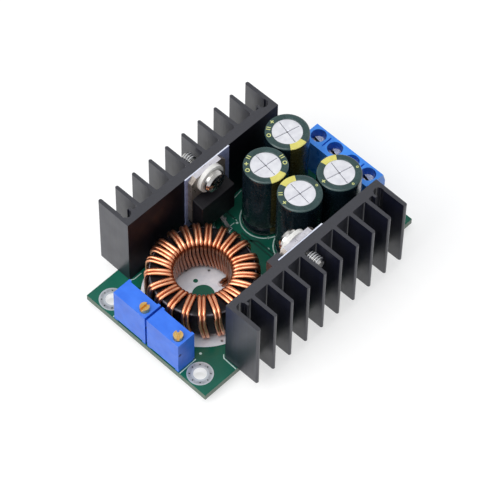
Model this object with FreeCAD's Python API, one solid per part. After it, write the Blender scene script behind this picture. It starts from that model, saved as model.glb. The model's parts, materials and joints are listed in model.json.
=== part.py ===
import FreeCAD, Part
import math
import os
from FreeCAD import Vector

# A step-down converter module on a small circuit board, in millimetres.
# X runs along the board toward the terminal blocks, Y across it toward the rear heatsink, Z up.
# The origin is under the middle of the board, level with the lower ends of the heatsink pins.

# Circuit board and its plated mounting holes
board_length = 65.0
board_width = 36.4
board_thickness = 1.6
tail_length = 1.7
mount_hole_diameter = 3.0
mount_pad_diameter = 5.9
mount_inset_x = 3.15
mount_inset_y = 4.7
plating = 0.1
seat_clearance = 0.02
hole_clearance = 0.2

# Solder joints under the board
lead_shortfall = 0.2
solder_pad_margin = 0.45
solder_height = 0.9
solder_neck = 0.1

# Heatsinks, extruded with their fins upright
sink_length = 46.0
sink_height = 20.4
sink_depth = 9.35
sink_base = 2.35
sink_inset = 3.73
fin_count = 10
end_fin = 1.1
fin_root = 1.0
fin_tip = 0.85
fin_root_fillet = 0.4
rear_sink_x = -0.1
front_sink_x = 0.3
pocket_diameter = 2.25
pocket_inset = 2.05
pocket_offset = 0.35
pocket_wall = 0.62
pocket_arm_rise = 0.9
pocket_teeth = 10
pocket_tooth = 0.24

# Height of the package screws, which the packages and their pads hang from
screw_drop = 2.6
screw_rise = sink_height - screw_drop

# Solder pins pressed into the heatsink pockets
pin_clearance = 0.025
pin_height = 8.0
pin_tail_diameter = 1.1

# Keeper lip on the front heatsink, which holds the edge of the insulating pad
keeper_reach = 1.75
keeper_overlap = 1.4
keeper_root = 1.95
keeper_slot_clearance = 0.1
keeper_gap = 0.2

# Power packages, one on each heatsink
regulator_x = -0.3
rectifier_x = -0.1
tab_width = 10.2
tab_thickness = 1.3
tab_above_screw = 2.8
tab_below_screw = 12.2
tab_rise = screw_rise + tab_above_screw
tab_foot = screw_rise - tab_below_screw
tab_corner = 1.3
tab_hole_diameter = 3.7
case_width = 10.0
case_depth = 4.4
case_below_screw = 12.9
case_foot = screw_rise - case_below_screw
case_height = 9.1
case_draft = 0.35
lead_plane = 2.7
lead_thickness = 0.5
lead_width = 0.8
regulator_lead_count = 5
regulator_lead_pitch = 1.7
regulator_lead_stagger = 3.0
regulator_lead_drop = case_foot/5
regulator_lead_bend = case_foot/2
rectifier_lead_count = 3
rectifier_lead_pitch = 2.54
rectifier_lead_shoulder = 1.3
rectifier_shoulder_foot = 2.0

# Pads, shoulder washers and screws that hold the packages
pad_thickness = 0.3
pad_width = 13.4
pad_above_screw = 2.7
pad_below_screw = 15.4
pad_rise = screw_rise + pad_above_screw
pad_foot = screw_rise - pad_below_screw
pad_hole_diameter = 3.3
rear_pad_shift = 0.9
screw_diameter = 2.9
screw_length = 8.5
screw_tip = 0.4
screw_head_diameter = 5.6
screw_head_height = 2.0
screw_recess_width = 0.65
screw_recess_length = 3.2
screw_recess_depth = 1.2
washer_diameter = 7.0
washer_flange = 1.0
washer_shoulder = 1.0
washer_shoulder_diameter = 3.5
washer_bore = 3.05

# Inductor core, its pair of wires and the tinned land under it
core_outer_diameter = 23.6
core_inner_diameter = 14.0
core_height = 8.0
core_corner = 1.0
core_lift = 1.05
wire_diameter = 0.8
wire_sides = 12
wire_gap = 0.03
wire_pair_gap = 0.11
wire_corner = 0.8
coil_trimmer_gap = 0.51
coil_y = 0.7
pair_azimuths = [331.3, 318.3, 305.4, 290.4, 273.1, 260.6, 240.5, 224.3, 207.0, 189.7, 173.4, 158.6,
                 139.2, 121.8, 107.8, 96.6, 80.0, 65.5, 51.7, 38.1, 21.0, 6.1, -9.0]
outer_spread = 0.1
inner_slant = 9.0
outer_slant = 4.0
start_azimuth = 337.0
end_azimuth = -15.0
end_lead_inset = 1.6
land_margin = 1.02
land_centre_diameter = 5.0
land_shift_x = -0.05
land_shift_y = -0.3
land_thickness = 0.1
land_trimmer_gap = 0.2
land_lead_ring = 0.3
land_via_diameter = 1.1
land_via_x = 1.31
land_via_y = 3.68
lead_hole_margin = 0.15

# Capacitors
can_diameter = 9.7
can_height = 20.0
can_foot = 0.2
can_edge = 0.6
can_groove_rise = 2.6
can_groove_depth = 0.35
can_groove_width = 1.2
sleeve_wall = 0.13
sleeve_turnover = 1.6
score_depth = 0.12
score_width = 0.25
score_length = 6.4
score_pip = 0.9
bung_height = 1.6
bung_wall = 0.5
cap_lead_diameter = 0.6
cap_lead_pitch = 5.0
cap_middle_y = -0.075
cap_middle_gap = 0.45
cap_end_gap = 2.0
cap_row_gap = 0.23
rear_row_angle = 16.75
front_row_angle = -12.4
cap_1_turn = -103.5
cap_2_turn = -96.8
cap_3_turn = 81.7
cap_4_turn = 76.4

# Multi-turn trimmers
trimmer_length = 9.53
trimmer_depth = 4.83
trimmer_height = 10.03
trimmer_wall = 0.7
trimmer_roof = 1.0
trimmer_foot = 0.4
trimmer_foot_width = 1.0
trimmer_lip = 0.35
trimmer_lip_width = 0.7
trimmer_inset_x = 0.13
trimmer_gap = 0.58
trimmer_middle_y = -0.16
trimmer_base = 1.0
trimmer_pin_diameter = 0.5
trimmer_pin_pitch = 2.54
adjuster_inset_x = 1.7
adjuster_inset_y = 1.7
adjuster_diameter = 2.2
adjuster_rise = 1.17
adjuster_slot = 0.56
adjuster_slot_depth = 0.76
adjuster_flange_diameter = 2.6
adjuster_flange = 0.6
adjuster_thread_diameter = 1.5
adjuster_slot_turn_1 = 0.0
adjuster_slot_turn_2 = 45.0
running_clearance = 0.03
sliding_clearance = 0.1
wiper_height = 0.9
wiper_travel = 5.6
wiper_length = 2.3
element_thickness = 0.6
element_length = 7.6

# Terminal blocks
pole_pitch = 5.0
block_poles = 2
block_count = 2
block_inset = 0.5
block_depth = 5.8
block_top_depth = 5.0
block_height = 10.0
block_slope_rise = 7.3
block_floor = 0.6
block_wall = 0.75
block_pole_wall = 1.1
block_hole_diameter = 3.6
block_hole_shift = 0.3
block_ledge_foot = 6.3
block_ledge = 0.5
block_entry_width = 3.2
block_entry_foot = 1.2
block_entry_height = 2.8
block_slot_width = 0.35
block_slot_length = 3.1
block_slot_depth = 1.2
block_notch = 0.45
clamp_screw_head_diameter = 3.4
clamp_screw_head_height = 0.8
clamp_screw_diameter = 2.5
clamp_screw_slot = 0.6
clamp_screw_slot_depth = 0.5
clamp_slot_turns = [78.0, 70.0, 74.0, 81.0]
cage_wall = 0.5
cage_top = 0.8
cage_length = 2.7
cage_width = 3.7
cage_lift = 0.1
wire_gap_height = 1.8
tongue_thickness = 0.6
tongue_width = 2.0
tongue_gap = 0.05
screw_tongue_gap = 0.15
contact_thickness = 0.6
contact_pin_width = 1.0

# Parts soldered to the underside: length, width, height, and places from the coil's centre
chip_gap = 0.9
chip_resistor = (2.0, 1.25, 0.5)
chip_resistor_count = 6
chip_resistor_x = -8.0
chip_resistor_y = 9.5
chip_capacitor = (2.0, 1.25, 0.9)
chip_capacitor_count = 3
chip_capacitor_x = -8.0
chip_capacitor_y = -11.0
sense_resistor = (3.2, 6.3, 0.6)
sense_resistor_gap = 3.1
amplifier_body = (4.9, 3.9, 1.4)
amplifier_leads = 4
amplifier_lead_pitch = 1.27
amplifier_lead_width = 0.42
amplifier_span = 6.0
amplifier_x = -4.0
amplifier_y = 4.0
small_regulator_body = (4.5, 2.5, 1.5)
small_regulator_tab = (1.6, 1.2)
small_regulator_lead_length = 1.0
small_regulator_lead_pitch = 1.5
small_regulator_x = -4.0
small_regulator_y = -7.0
gull_lead_thickness = 0.4

# Levels and faces that several pieces share
board_bottom = tail_length
board_top = board_bottom + board_thickness
lead_end = lead_shortfall
half_length = board_length/2
half_width = board_width/2
sink_face = half_width - sink_inset
tab_back = sink_face - pad_thickness
tab_front = tab_back - tab_thickness
case_front = tab_back - case_depth
lead_y = tab_back - lead_plane
screw_z = board_top + screw_rise
sink_pitch = (sink_length - end_fin)/(fin_count - 1)

trimmer_front_x = -half_length + trimmer_inset_x
trimmer_back_x = trimmer_front_x + trimmer_depth
block_front_x = half_length - block_inset
block_back_x = block_front_x - block_depth

tolerance = 0.001
wire_radius = wire_diameter/2
coil_outer = core_outer_diameter/2 + wire_gap + wire_radius
coil_inner = core_inner_diameter/2 - wire_gap - wire_radius
coil_top = board_top + core_lift + core_height + wire_gap + wire_radius
coil_bottom = board_top + core_lift - wire_gap - wire_radius
coil_x = trimmer_back_x + coil_trimmer_gap + coil_outer + wire_radius
pair_offset = (wire_diameter + wire_pair_gap)/2


def box(x0, x1, y0, y1, z0, z1):
    """A block between two corners."""
    return Part.makeBox(x1 - x0, y1 - y0, z1 - z0, Vector(x0, y0, z0))


def rod(diameter, x, y, z0, z1):
    """An upright round bar."""
    return Part.makeCylinder(diameter/2, z1 - z0, Vector(x, y, z0))


def cross_rod(diameter, x, y0, y1, z):
    """A round bar along Y."""
    return Part.makeCylinder(diameter/2, y1 - y0, Vector(x, y0, z), Vector(0, 1, 0))


def plate(corners, direction):
    """A flat outline pushed along a direction."""
    outline = Part.makePolygon(corners + corners[:1])
    return Part.Face(outline).extrude(direction)


def fused(pieces):
    """One solid from pieces that overlap."""
    return pieces[0].multiFuse(pieces[1:]).removeSplitter()


def polar(radius, angle):
    """A point on a circle, with the angle in degrees."""
    turn = math.radians(angle)
    return Vector(radius*math.cos(turn), radius*math.sin(turn), 0)


def turned(outline):
    """A solid of revolution about Z from (radius, height) corners."""
    corners = [Vector(radius, 0, height) for radius, height in outline]
    face = Part.Face(Part.makePolygon(corners + corners[:1]))
    return face.revolve(Vector(0, 0, 0), Vector(0, 0, 1), 360)


def mitred_bar(points, section):
    """A bar of one section along straight runs, mitred where two runs meet.

    The section is a ring of corners around the first point, square to the first run.
    """
    runs = [(end - start).normalize() for start, end in zip(points, points[1:])]
    rings = [section]
    for index, run in enumerate(runs):
        corner = points[index + 1]
        following = runs[index + 1] if index + 1 < len(runs) else run
        normal = run + following
        ring = []
        for spot in rings[-1]:
            distance = (corner - spot).dot(normal)/run.dot(normal)
            ring.append(spot + run*distance)
        rings.append(ring)
    faces = [Part.Face(Part.makePolygon(ring + ring[:1])) for ring in (rings[0], rings[-1])]
    for near, far in zip(rings, rings[1:]):
        for index in range(len(section)):
            after = (index + 1) % len(section)
            side = [near[index], near[after], far[after], far[index], near[index]]
            faces.append(Part.Face(Part.makePolygon(side)))
    shell = Part.makeShell(faces)
    shell.sewShape()
    bar = Part.makeSolid(shell)
    if bar.Volume < 0:
        bar.reverse()
    return bar


def on_front(shape):
    """The same piece on the front side of the board."""
    return shape.mirror(Vector(0, 0, 0), Vector(0, 1, 0))


def mount_places():
    """Centres of the four mounting holes."""
    x = half_length - mount_inset_x
    y = half_width - mount_inset_y
    return [(side_x*x, side_y*y) for side_x in (-1, 1) for side_y in (-1, 1)]


def pocket_places():
    """Axes of the heatsink pins: x, y and the side of the board."""
    reach = sink_length/2 - pocket_inset
    y = sink_face + sink_base + pocket_offset
    places = []
    for sink_x, side in ((rear_sink_x, 1), (front_sink_x, -1)):
        places += [(sink_x - reach, side*y), (sink_x + reach, side*y)]
    return places


def regulator_lead_places():
    """Feet of the five regulator leads, in two rows."""
    places = []
    for index in range(regulator_lead_count):
        x = regulator_x + (index - (regulator_lead_count - 1)/2)*regulator_lead_pitch
        y = lead_y - regulator_lead_stagger*(index % 2)
        places.append((x, y))
    return places


def rectifier_lead_places():
    """Feet of the three rectifier leads."""
    middle = (rectifier_lead_count - 1)/2
    return [(rectifier_x + (index - middle)*rectifier_lead_pitch, -lead_y)
            for index in range(rectifier_lead_count)]


def capacitor_places():
    """Centre and turn of each capacitor: the turn points to its striped side."""
    body = can_diameter + 2*(sleeve_wall + seat_clearance)
    step = body + cap_row_gap
    end_x = block_back_x - cap_end_gap - body/2
    rear_y = cap_middle_y + (body + cap_middle_gap)/2
    front_y = cap_middle_y - (body + cap_middle_gap)/2
    rear = polar(step, rear_row_angle)
    front = polar(step, front_row_angle)
    return [(end_x, rear_y + rear.y, cap_1_turn), (end_x - rear.x, rear_y, cap_2_turn),
            (end_x - front.x, front_y, cap_3_turn), (end_x, front_y + front.y, cap_4_turn)]


def capacitor_lead_places():
    """Both leads of every capacitor."""
    places = []
    for x, y, turn in capacitor_places():
        reach = polar(cap_lead_pitch/2, turn)
        places += [(x + reach.x, y + reach.y), (x - reach.x, y - reach.y)]
    return places


def trimmer_starts():
    """The near corner in Y of each trimmer."""
    return [trimmer_middle_y + trimmer_gap/2,
            trimmer_middle_y - trimmer_gap/2 - trimmer_length]


def trimmer_pin_places(start_y):
    """The three pins of one trimmer."""
    x = trimmer_front_x + trimmer_depth/2
    y = start_y + trimmer_length/2
    return [(x, y + step*trimmer_pin_pitch) for step in (-1, 0, 1)]


def pole_places():
    """Y of each clamping screw."""
    count = block_poles*block_count
    return [(index - (count - 1)/2)*pole_pitch for index in range(count)]


def contact_pin_x():
    """X of the solder pins of the terminal contacts."""
    return block_back_x + block_wall + contact_thickness/2


def pole_x():
    """X of the clamping screws."""
    return block_back_x + block_top_depth/2 + block_hole_shift


def coil_lead_places():
    """Where the two ends of the wire pair go through the board."""
    start = polar(coil_outer, start_azimuth)
    end = polar(coil_inner - end_lead_inset, end_azimuth)
    return [(coil_x + start.x, coil_y + start.y), (coil_x + end.x, coil_y + end.y)]


def soldered_holes():
    """Every soldered hole as x, y and the width of its lead."""
    flat_lead = math.hypot(lead_width, lead_thickness)
    flat_pin = math.hypot(contact_pin_width, contact_thickness)
    holes = [(x, y, pin_tail_diameter) for x, y in pocket_places()]
    holes += [(x, y, flat_lead) for x, y in regulator_lead_places() + rectifier_lead_places()]
    holes += [(x, y, cap_lead_diameter) for x, y in capacitor_lead_places()]
    for start_y in trimmer_starts():
        holes += [(x, y, trimmer_pin_diameter) for x, y in trimmer_pin_places(start_y)]
    holes += [(contact_pin_x(), y, flat_pin) for y in pole_places()]
    return holes


def coil_hole_diameter():
    """Hole for one pair of wire ends."""
    return 2*(pair_offset + wire_radius + lead_hole_margin)


def make_board():
    """The bare board with its drilled holes."""
    board = box(-half_length, half_length, -half_width, half_width, board_bottom, board_top)
    liner = mount_hole_diameter + 2*(plating + seat_clearance)
    drills = [rod(liner, x, y, board_bottom, board_top) for x, y in mount_places()]
    drills += [rod(width + hole_clearance, x, y, board_bottom, board_top)
               for x, y, width in soldered_holes()]
    drills += [rod(coil_hole_diameter(), x, y, board_bottom, board_top) for x, y in coil_lead_places()]
    return board.cut(drills)


def make_liners():
    """Plated walls and rings of the mounting holes."""
    liners = []
    for x, y in mount_places():
        barrel = rod(mount_hole_diameter + 2*plating, x, y, board_bottom - plating, board_top + plating)
        rings = [rod(mount_pad_diameter, x, y, board_top, board_top + plating),
                 rod(mount_pad_diameter, x, y, board_bottom - plating, board_bottom)]
        bore = rod(mount_hole_diameter, x, y, board_bottom - plating, board_top + plating)
        liners.append(fused([barrel] + rings).cut(bore))
    return liners


def make_land():
    """Tinned copper ring on the board under the inductor."""
    x = coil_x + land_shift_x
    y = coil_y + land_shift_y
    top = board_top + land_thickness
    outer = coil_outer + wire_radius + land_margin
    land = rod(2*outer, x, y, board_top, top)
    start, end = coil_lead_places()
    cuts = [rod(land_centre_diameter, x, y, board_top, top),
            rod(coil_hole_diameter() + 2*land_lead_ring, start[0], start[1], board_top, top),
            rod(coil_hole_diameter(), end[0], end[1], board_top, top),
            rod(land_via_diameter, x + land_via_x, y + land_via_y, board_top, top),
            box(x - outer, trimmer_back_x + land_trimmer_gap, y - outer, y + outer, board_top, top)]
    return land.cut(cuts)


def fin(u, root, tip):
    """One fin from inside the base to its rounded tip, as a face at the foot of the sink."""
    foot = sink_face + sink_base/2
    shoulder = sink_face + sink_depth - tip/2
    left_foot = Vector(u - root/2, foot, board_top)
    left_tip = Vector(u - tip/2, shoulder, board_top)
    crown = Vector(u, sink_face + sink_depth, board_top)
    right_tip = Vector(u + tip/2, shoulder, board_top)
    right_foot = Vector(u + root/2, foot, board_top)
    edges = [Part.LineSegment(left_foot, left_tip), Part.Arc(left_tip, crown, right_tip),
             Part.LineSegment(right_tip, right_foot), Part.LineSegment(right_foot, left_foot)]
    wire = Part.Wire([edge.toShape() for edge in edges])
    return Part.Face(wire).extrude(Vector(0, 0, sink_height))


def make_sink():
    """A heatsink about X = 0 at the rear side, before its screw hole is drilled."""
    half = sink_length/2
    outer_face = sink_face + sink_base
    top = board_top + sink_height
    pieces = [box(-half, half, sink_face, outer_face, board_top, top)]
    for index in range(fin_count):
        is_end = index in (0, fin_count - 1)
        root = end_fin if is_end else fin_root
        tip = root - (fin_root - fin_tip)
        u = -half + end_fin/2 + index*sink_pitch
        pieces.append(fin(u, root, tip))
    sink = fused(pieces)
    roots = []
    for edge in sink.Edges:
        middle = edge.CenterOfMass
        upright = abs(edge.Length - sink_height) < tolerance
        inward = abs(middle.x) < half - end_fin/2
        if upright and inward and abs(middle.y - outer_face) < tolerance:
            roots.append(edge)
    sink = sink.makeFillet(fin_root_fillet, roots)
    axis_y = outer_face + pocket_offset
    radius = pocket_diameter/2
    for side in (-1, 1):
        axis_x = side*(half - pocket_inset)
        ring = rod(pocket_diameter + 2*pocket_wall, axis_x, axis_y, board_top, top)
        inner_x = axis_x - side*(radius + pocket_wall)
        window = box(min(axis_x, inner_x), max(axis_x, inner_x), outer_face - sink_base/2,
                     outer_face + pocket_arm_rise, board_top, top)
        sink = sink.fuse(ring.common(window))
        cuts = [rod(pocket_diameter, axis_x, axis_y, board_top, top)]
        for tooth in range(pocket_teeth):
            spot = polar(radius, (tooth + 0.5)*360/pocket_teeth)
            cuts.append(rod(pocket_tooth, axis_x + spot.x, axis_y + spot.y, board_top, top))
        sink = sink.cut(cuts)
    return sink.removeSplitter()


def drilled_sink(sink_x, package_x):
    """The heatsink at its place with the hole for the package screw."""
    sink = make_sink()
    sink.translate(Vector(sink_x, 0, 0))
    bore = screw_diameter + 2*seat_clearance
    depth = sink_base + fin_root_fillet
    return sink.cut(cross_rod(bore, package_x, sink_face, sink_face + depth, screw_z))


def make_front_sink():
    """The front heatsink, with the lip that keeps the edge of the insulating pad."""
    sink = drilled_sink(front_sink_x, rectifier_x)
    top = board_top + sink_height
    lip_end = rectifier_x - tab_width/2 - keeper_gap
    root_end = lip_end - keeper_overlap
    inner = sink_face - keeper_reach
    slot = sink_face - pad_thickness - keeper_slot_clearance
    root = box(root_end - keeper_root, root_end, inner, sink_face, board_top, top)
    lip = box(root_end, lip_end, inner, slot, board_top, top)
    return on_front(fused([sink, root, lip]))


def make_sink_pins():
    """Pins pressed into the heatsinks, with tails through the board."""
    pins = []
    for x, y in pocket_places():
        body = rod(pocket_diameter - 2*pin_clearance, x, y, board_top, board_top + pin_height)
        tail = rod(pin_tail_diameter, x, y, 0, board_top)
        pins.append(fused([body, tail]))
    return pins


def make_tab(package_x):
    """Metal tab of a package, with its corners cut."""
    left = package_x - tab_width/2
    right = package_x + tab_width/2
    foot = board_top + tab_foot
    top = board_top + tab_rise
    corners = [Vector(left, tab_front, foot), Vector(right, tab_front, foot),
               Vector(right, tab_front, top - tab_corner), Vector(right - tab_corner, tab_front, top),
               Vector(left + tab_corner, tab_front, top), Vector(left, tab_front, top - tab_corner)]
    tab = plate(corners, Vector(0, tab_thickness, 0))
    return tab.cut(cross_rod(tab_hole_diameter, package_x, tab_front, tab_back, screw_z))


def make_case(package_x, tab, leads):
    """Moulded case around the foot of the tab and the tops of the leads."""
    half = case_width/2
    foot = board_top + case_foot
    top = foot + case_height
    slope = top - case_draft*2
    sides = [Vector(package_x - half, case_front, foot), Vector(package_x - half, tab_back, foot),
             Vector(package_x - half, tab_back, top), Vector(package_x - half, tab_front, top),
             Vector(package_x - half, case_front, slope)]
    case = plate(sides, Vector(case_width, 0, 0))
    return case.cut([tab] + leads)


def lead_embed():
    """How far a lead reaches up into its case."""
    return case_height/4


def make_regulator_leads():
    """Five flat leads, every second one bent toward the middle of the board."""
    leads = []
    top = board_top + case_foot + lead_embed()
    drop = board_top + case_foot - regulator_lead_drop
    bend = drop - regulator_lead_bend
    for x, y in regulator_lead_places():
        points = [Vector(x, lead_y, top), Vector(x, lead_y, drop), Vector(x, y, bend), Vector(x, y, lead_end)]
        if y == lead_y:
            points = [points[0], points[-1]]
        section = [points[0] + Vector(side_x*lead_width/2, side_y*lead_thickness/2, 0)
                   for side_x, side_y in ((-1, -1), (1, -1), (1, 1), (-1, 1))]
        leads.append(mitred_bar(points, section))
    return leads


def make_rectifier_leads():
    """Three flat leads with wide shoulders, at the front side."""
    leads = []
    half = lead_thickness/2
    top = board_top + case_foot + lead_embed()
    shoulder = board_top + rectifier_shoulder_foot
    for x, y in rectifier_lead_places():
        wide = box(x - rectifier_lead_shoulder/2, x + rectifier_lead_shoulder/2, y - half, y + half,
                   shoulder, top)
        narrow = box(x - lead_width/2, x + lead_width/2, y - half, y + half, lead_end, top)
        leads.append(fused([wide, narrow]))
    return leads


def make_pad(package_x, middle_x):
    """Insulating pad between a tab and its heatsink."""
    pad = box(middle_x - pad_width/2, middle_x + pad_width/2, tab_back, sink_face,
              board_top + pad_foot, board_top + pad_rise)
    return pad.cut(cross_rod(pad_hole_diameter, package_x, tab_back, sink_face, screw_z))


def make_washer(package_x):
    """Insulating shoulder washer in the hole of a tab."""
    flange = cross_rod(washer_diameter, package_x, tab_front - washer_flange, tab_front, screw_z)
    shoulder = cross_rod(washer_shoulder_diameter, package_x, tab_front, tab_front + washer_shoulder, screw_z)
    bore = cross_rod(washer_bore, package_x, tab_front - washer_flange, tab_back, screw_z)
    return fused([flange, shoulder]).cut(bore)


def make_screw(package_x):
    """Pan-head screw with a cross recess, through the washer into the heatsink."""
    radius = screw_head_diameter/2
    crown = screw_head_height
    shank = screw_diameter/2
    head = turned([(0, 0), (radius, 0), (radius, crown*0.45), (radius*0.86, crown*0.78),
                   (radius*0.55, crown*0.96), (0, crown)])
    stem = turned([(0, 0), (shank, 0), (shank, screw_tip - screw_length), (shank - screw_tip, -screw_length),
                   (0, -screw_length)])
    floor = crown - screw_recess_depth
    half_slot = screw_recess_width/2
    half_cross = screw_recess_length/2
    cross = [box(-half_cross, half_cross, -half_slot, half_slot, floor, crown),
             box(-half_slot, half_slot, -half_cross, half_cross, floor, crown)]
    screw = fused([head, stem]).cut(cross)
    screw.rotate(Vector(0, 0, 0), Vector(1, 0, 0), 90)
    screw.translate(Vector(package_x, tab_front - washer_flange, screw_z))
    return screw


def make_core():
    """Powder-iron ring of the inductor."""
    foot = board_top + core_lift
    inner = core_inner_diameter/2
    outer = core_outer_diameter/2
    section = box(inner, outer, 0, 1, foot, foot + core_height)
    face = [side for side in section.Faces if side.CenterOfMass.y < tolerance][0]
    ring = face.revolve(Vector(0, 0, 0), Vector(0, 0, 1), 360)
    rims = [edge for edge in ring.Edges if isinstance(edge.Curve, Part.Circle)]
    ring = ring.makeFillet(core_corner, rims)
    ring.translate(Vector(coil_x, coil_y, 0))
    return ring


def coil_point(radius, angle, height, offset):
    """A point of one wire: the offset is sideways from the middle of the pair."""
    spot = polar(radius, angle) + polar(offset, angle + 90)
    return Vector(coil_x + spot.x, coil_y + spot.y, height)


def coil_route(offset):
    """Corners of one wire, from its hole outside the core to its hole inside the ring."""
    count = len(pair_azimuths)
    step = 360/count
    first = sum(angle + step*index for index, angle in enumerate(pair_azimuths))/count
    inner = [first - step*index for index in range(count)]
    outer = [(1 + outer_spread)*angle - outer_spread*within
             for angle, within in zip(pair_azimuths, inner)]
    outside = coil_outer - wire_corner
    inside = coil_inner + wire_corner
    high = coil_top - wire_corner
    low = coil_bottom + wire_corner
    route = [coil_point(coil_outer, start_azimuth, lead_end, offset),
             coil_point(coil_outer, start_azimuth, coil_bottom, offset)]
    for index in range(count):
        if index:
            route.append(coil_point(outside, outer[index] + outer_slant, coil_bottom, offset))
            route.append(coil_point(coil_outer, outer[index] + outer_slant, low, offset))
        route.append(coil_point(coil_outer, outer[index], high, offset))
        route.append(coil_point(outside, outer[index], coil_top, offset))
        route.append(coil_point(inside, inner[index], coil_top, offset))
        route.append(coil_point(coil_inner, inner[index], high, offset))
        route.append(coil_point(coil_inner, inner[index] - inner_slant, low, offset))
        if index < count - 1:
            route.append(coil_point(inside, inner[index] - inner_slant, coil_bottom, offset))
    within = coil_inner - end_lead_inset
    route.append(coil_point(within, end_azimuth, coil_bottom, offset))
    route.append(coil_point(within, end_azimuth, lead_end, offset))
    return route


def make_wire(offset):
    """One of the two wires of the winding."""
    route = coil_route(offset)
    section = [route[0] + polar(wire_radius, index*360/wire_sides) for index in range(wire_sides)]
    return mitred_bar(route, section)


def make_can(x, y, turn):
    """Sealed aluminium can, with its rolled groove and its scored top."""
    radius = can_diameter/2
    foot = board_top + can_foot
    top = board_top + can_height
    groove = board_top + can_groove_rise
    half_groove = can_groove_width/2
    recess = radius - bung_wall
    can = turned([(0, foot + bung_height), (recess, foot + bung_height), (recess, foot),
                  (radius - can_edge/2, foot), (radius, foot + can_edge/2), (radius, groove - half_groove),
                  (radius - can_groove_depth, groove), (radius, groove + half_groove),
                  (radius, top - can_edge), (radius - can_edge/3, top - can_edge/3),
                  (radius - can_edge, top), (0, top)])
    floor = top - score_depth
    half_score = score_length/2
    half_width_score = score_width/2
    scores = [box(-half_score, half_score, -half_width_score, half_width_score, floor, top),
              box(-half_width_score, half_width_score, -half_score, half_score, floor, top),
              rod(score_pip, 0, 0, floor, top)]
    can = can.cut(scores)
    can.rotate(Vector(0, 0, 0), Vector(0, 0, 1), turn)
    can.translate(Vector(x, y, 0))
    return can


def make_sleeve(x, y):
    """Shrunk sleeve, turned over the top edge of the can."""
    inner = can_diameter/2 + seat_clearance
    outer = inner + sleeve_wall
    foot = board_top + can_foot
    top = board_top + can_height
    groove = board_top + can_groove_rise
    half_groove = can_groove_width/2
    turnover = outer - sleeve_turnover
    sleeve = turned([(inner, foot + can_edge/2), (outer, foot + can_edge/2), (outer, groove - half_groove),
                     (outer - can_groove_depth, groove), (outer, groove + half_groove),
                     (outer, top - can_edge), (outer - can_edge/3, top - can_edge/3 + sleeve_wall),
                     (outer - can_edge, top + sleeve_wall), (turnover, top + sleeve_wall),
                     (turnover, top + seat_clearance), (inner - can_edge, top + seat_clearance),
                     (inner - can_edge/3, top - can_edge/3 + seat_clearance), (inner, top - can_edge),
                     (inner, groove + half_groove), (inner - can_groove_depth, groove),
                     (inner, groove - half_groove)])
    sleeve.translate(Vector(x, y, 0))
    return sleeve


def make_bung(x, y, turn):
    """Rubber bung that closes a can, with holes for its leads."""
    radius = can_diameter/2 - bung_wall - seat_clearance
    foot = board_top
    top = board_top + can_foot + bung_height
    bung = rod(2*radius, x, y, foot, top)
    reach = polar(cap_lead_pitch/2, turn)
    bore = cap_lead_diameter + 2*seat_clearance
    return bung.cut([rod(bore, x + side*reach.x, y + side*reach.y, foot, top) for side in (-1, 1)])


def make_capacitor_leads():
    """Leads from the sealed cans down through the board."""
    top = board_top + can_foot + bung_height
    return [rod(cap_lead_diameter, x, y, lead_end, top) for x, y in capacitor_lead_places()]


def adjuster_axis(start_y):
    """Axis of an adjusting screw."""
    return trimmer_front_x + adjuster_inset_x, start_y + adjuster_inset_y


def flange_top():
    """Top of the adjusting screw's flange, just under the roof of the housing."""
    return board_top + trimmer_height - trimmer_roof - sliding_clearance


def make_trimmer_housing(start_y):
    """Moulded housing, open below, with feet and two lips on its back."""
    front = trimmer_front_x
    back = trimmer_back_x
    wall = back - trimmer_lip
    end_y = start_y + trimmer_length
    foot = board_top + trimmer_foot
    top = board_top + trimmer_height
    pieces = [box(front, wall, start_y, end_y, foot, top)]
    for near in (start_y, end_y - trimmer_foot_width):
        pieces.append(box(front, wall, near, near + trimmer_foot_width, board_top, top))
    for near in (start_y, end_y - trimmer_lip_width):
        pieces.append(box(wall, back, near, near + trimmer_lip_width, foot, top))
    x, y = adjuster_axis(start_y)
    roof = top - trimmer_roof
    cavity = box(front + trimmer_wall, wall - trimmer_wall, start_y + trimmer_wall, end_y - trimmer_wall,
                 board_top, roof)
    neck = rod(adjuster_diameter + 2*running_clearance, x, y, roof, top)
    relief = rod(adjuster_flange_diameter + 2*sliding_clearance, x, y,
                 flange_top() - adjuster_flange - sliding_clearance, roof)
    return fused(pieces).cut([cavity, neck, relief])


def cavity_faces():
    """Front and back faces of the space in a trimmer housing."""
    return trimmer_front_x + trimmer_wall, trimmer_back_x - trimmer_lip - trimmer_wall


def make_trimmer_base(start_y):
    """Cast resin that closes the housing and holds the pins."""
    front, back = cavity_faces()
    foot = board_top + trimmer_foot
    base = box(front, back, start_y + trimmer_wall, start_y + trimmer_length - trimmer_wall,
               foot, foot + trimmer_base)
    bore = trimmer_pin_diameter + 2*seat_clearance
    return base.cut([rod(bore, x, y, foot, foot + trimmer_base) for x, y in trimmer_pin_places(start_y)])


def make_trimmer_pins(start_y):
    """Pins from inside the resin down through the board."""
    top = board_top + trimmer_foot + trimmer_base
    return [rod(trimmer_pin_diameter, x, y, lead_end, top) for x, y in trimmer_pin_places(start_y)]


def make_element(start_y):
    """Ceramic plate that carries the resistive track, upright at the back of the housing."""
    back = cavity_faces()[1]
    foot = board_top + trimmer_foot + trimmer_base
    near = start_y + trimmer_wall
    return box(back - element_thickness, back, near, near + element_length, foot,
               board_top + trimmer_height - trimmer_roof)


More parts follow.
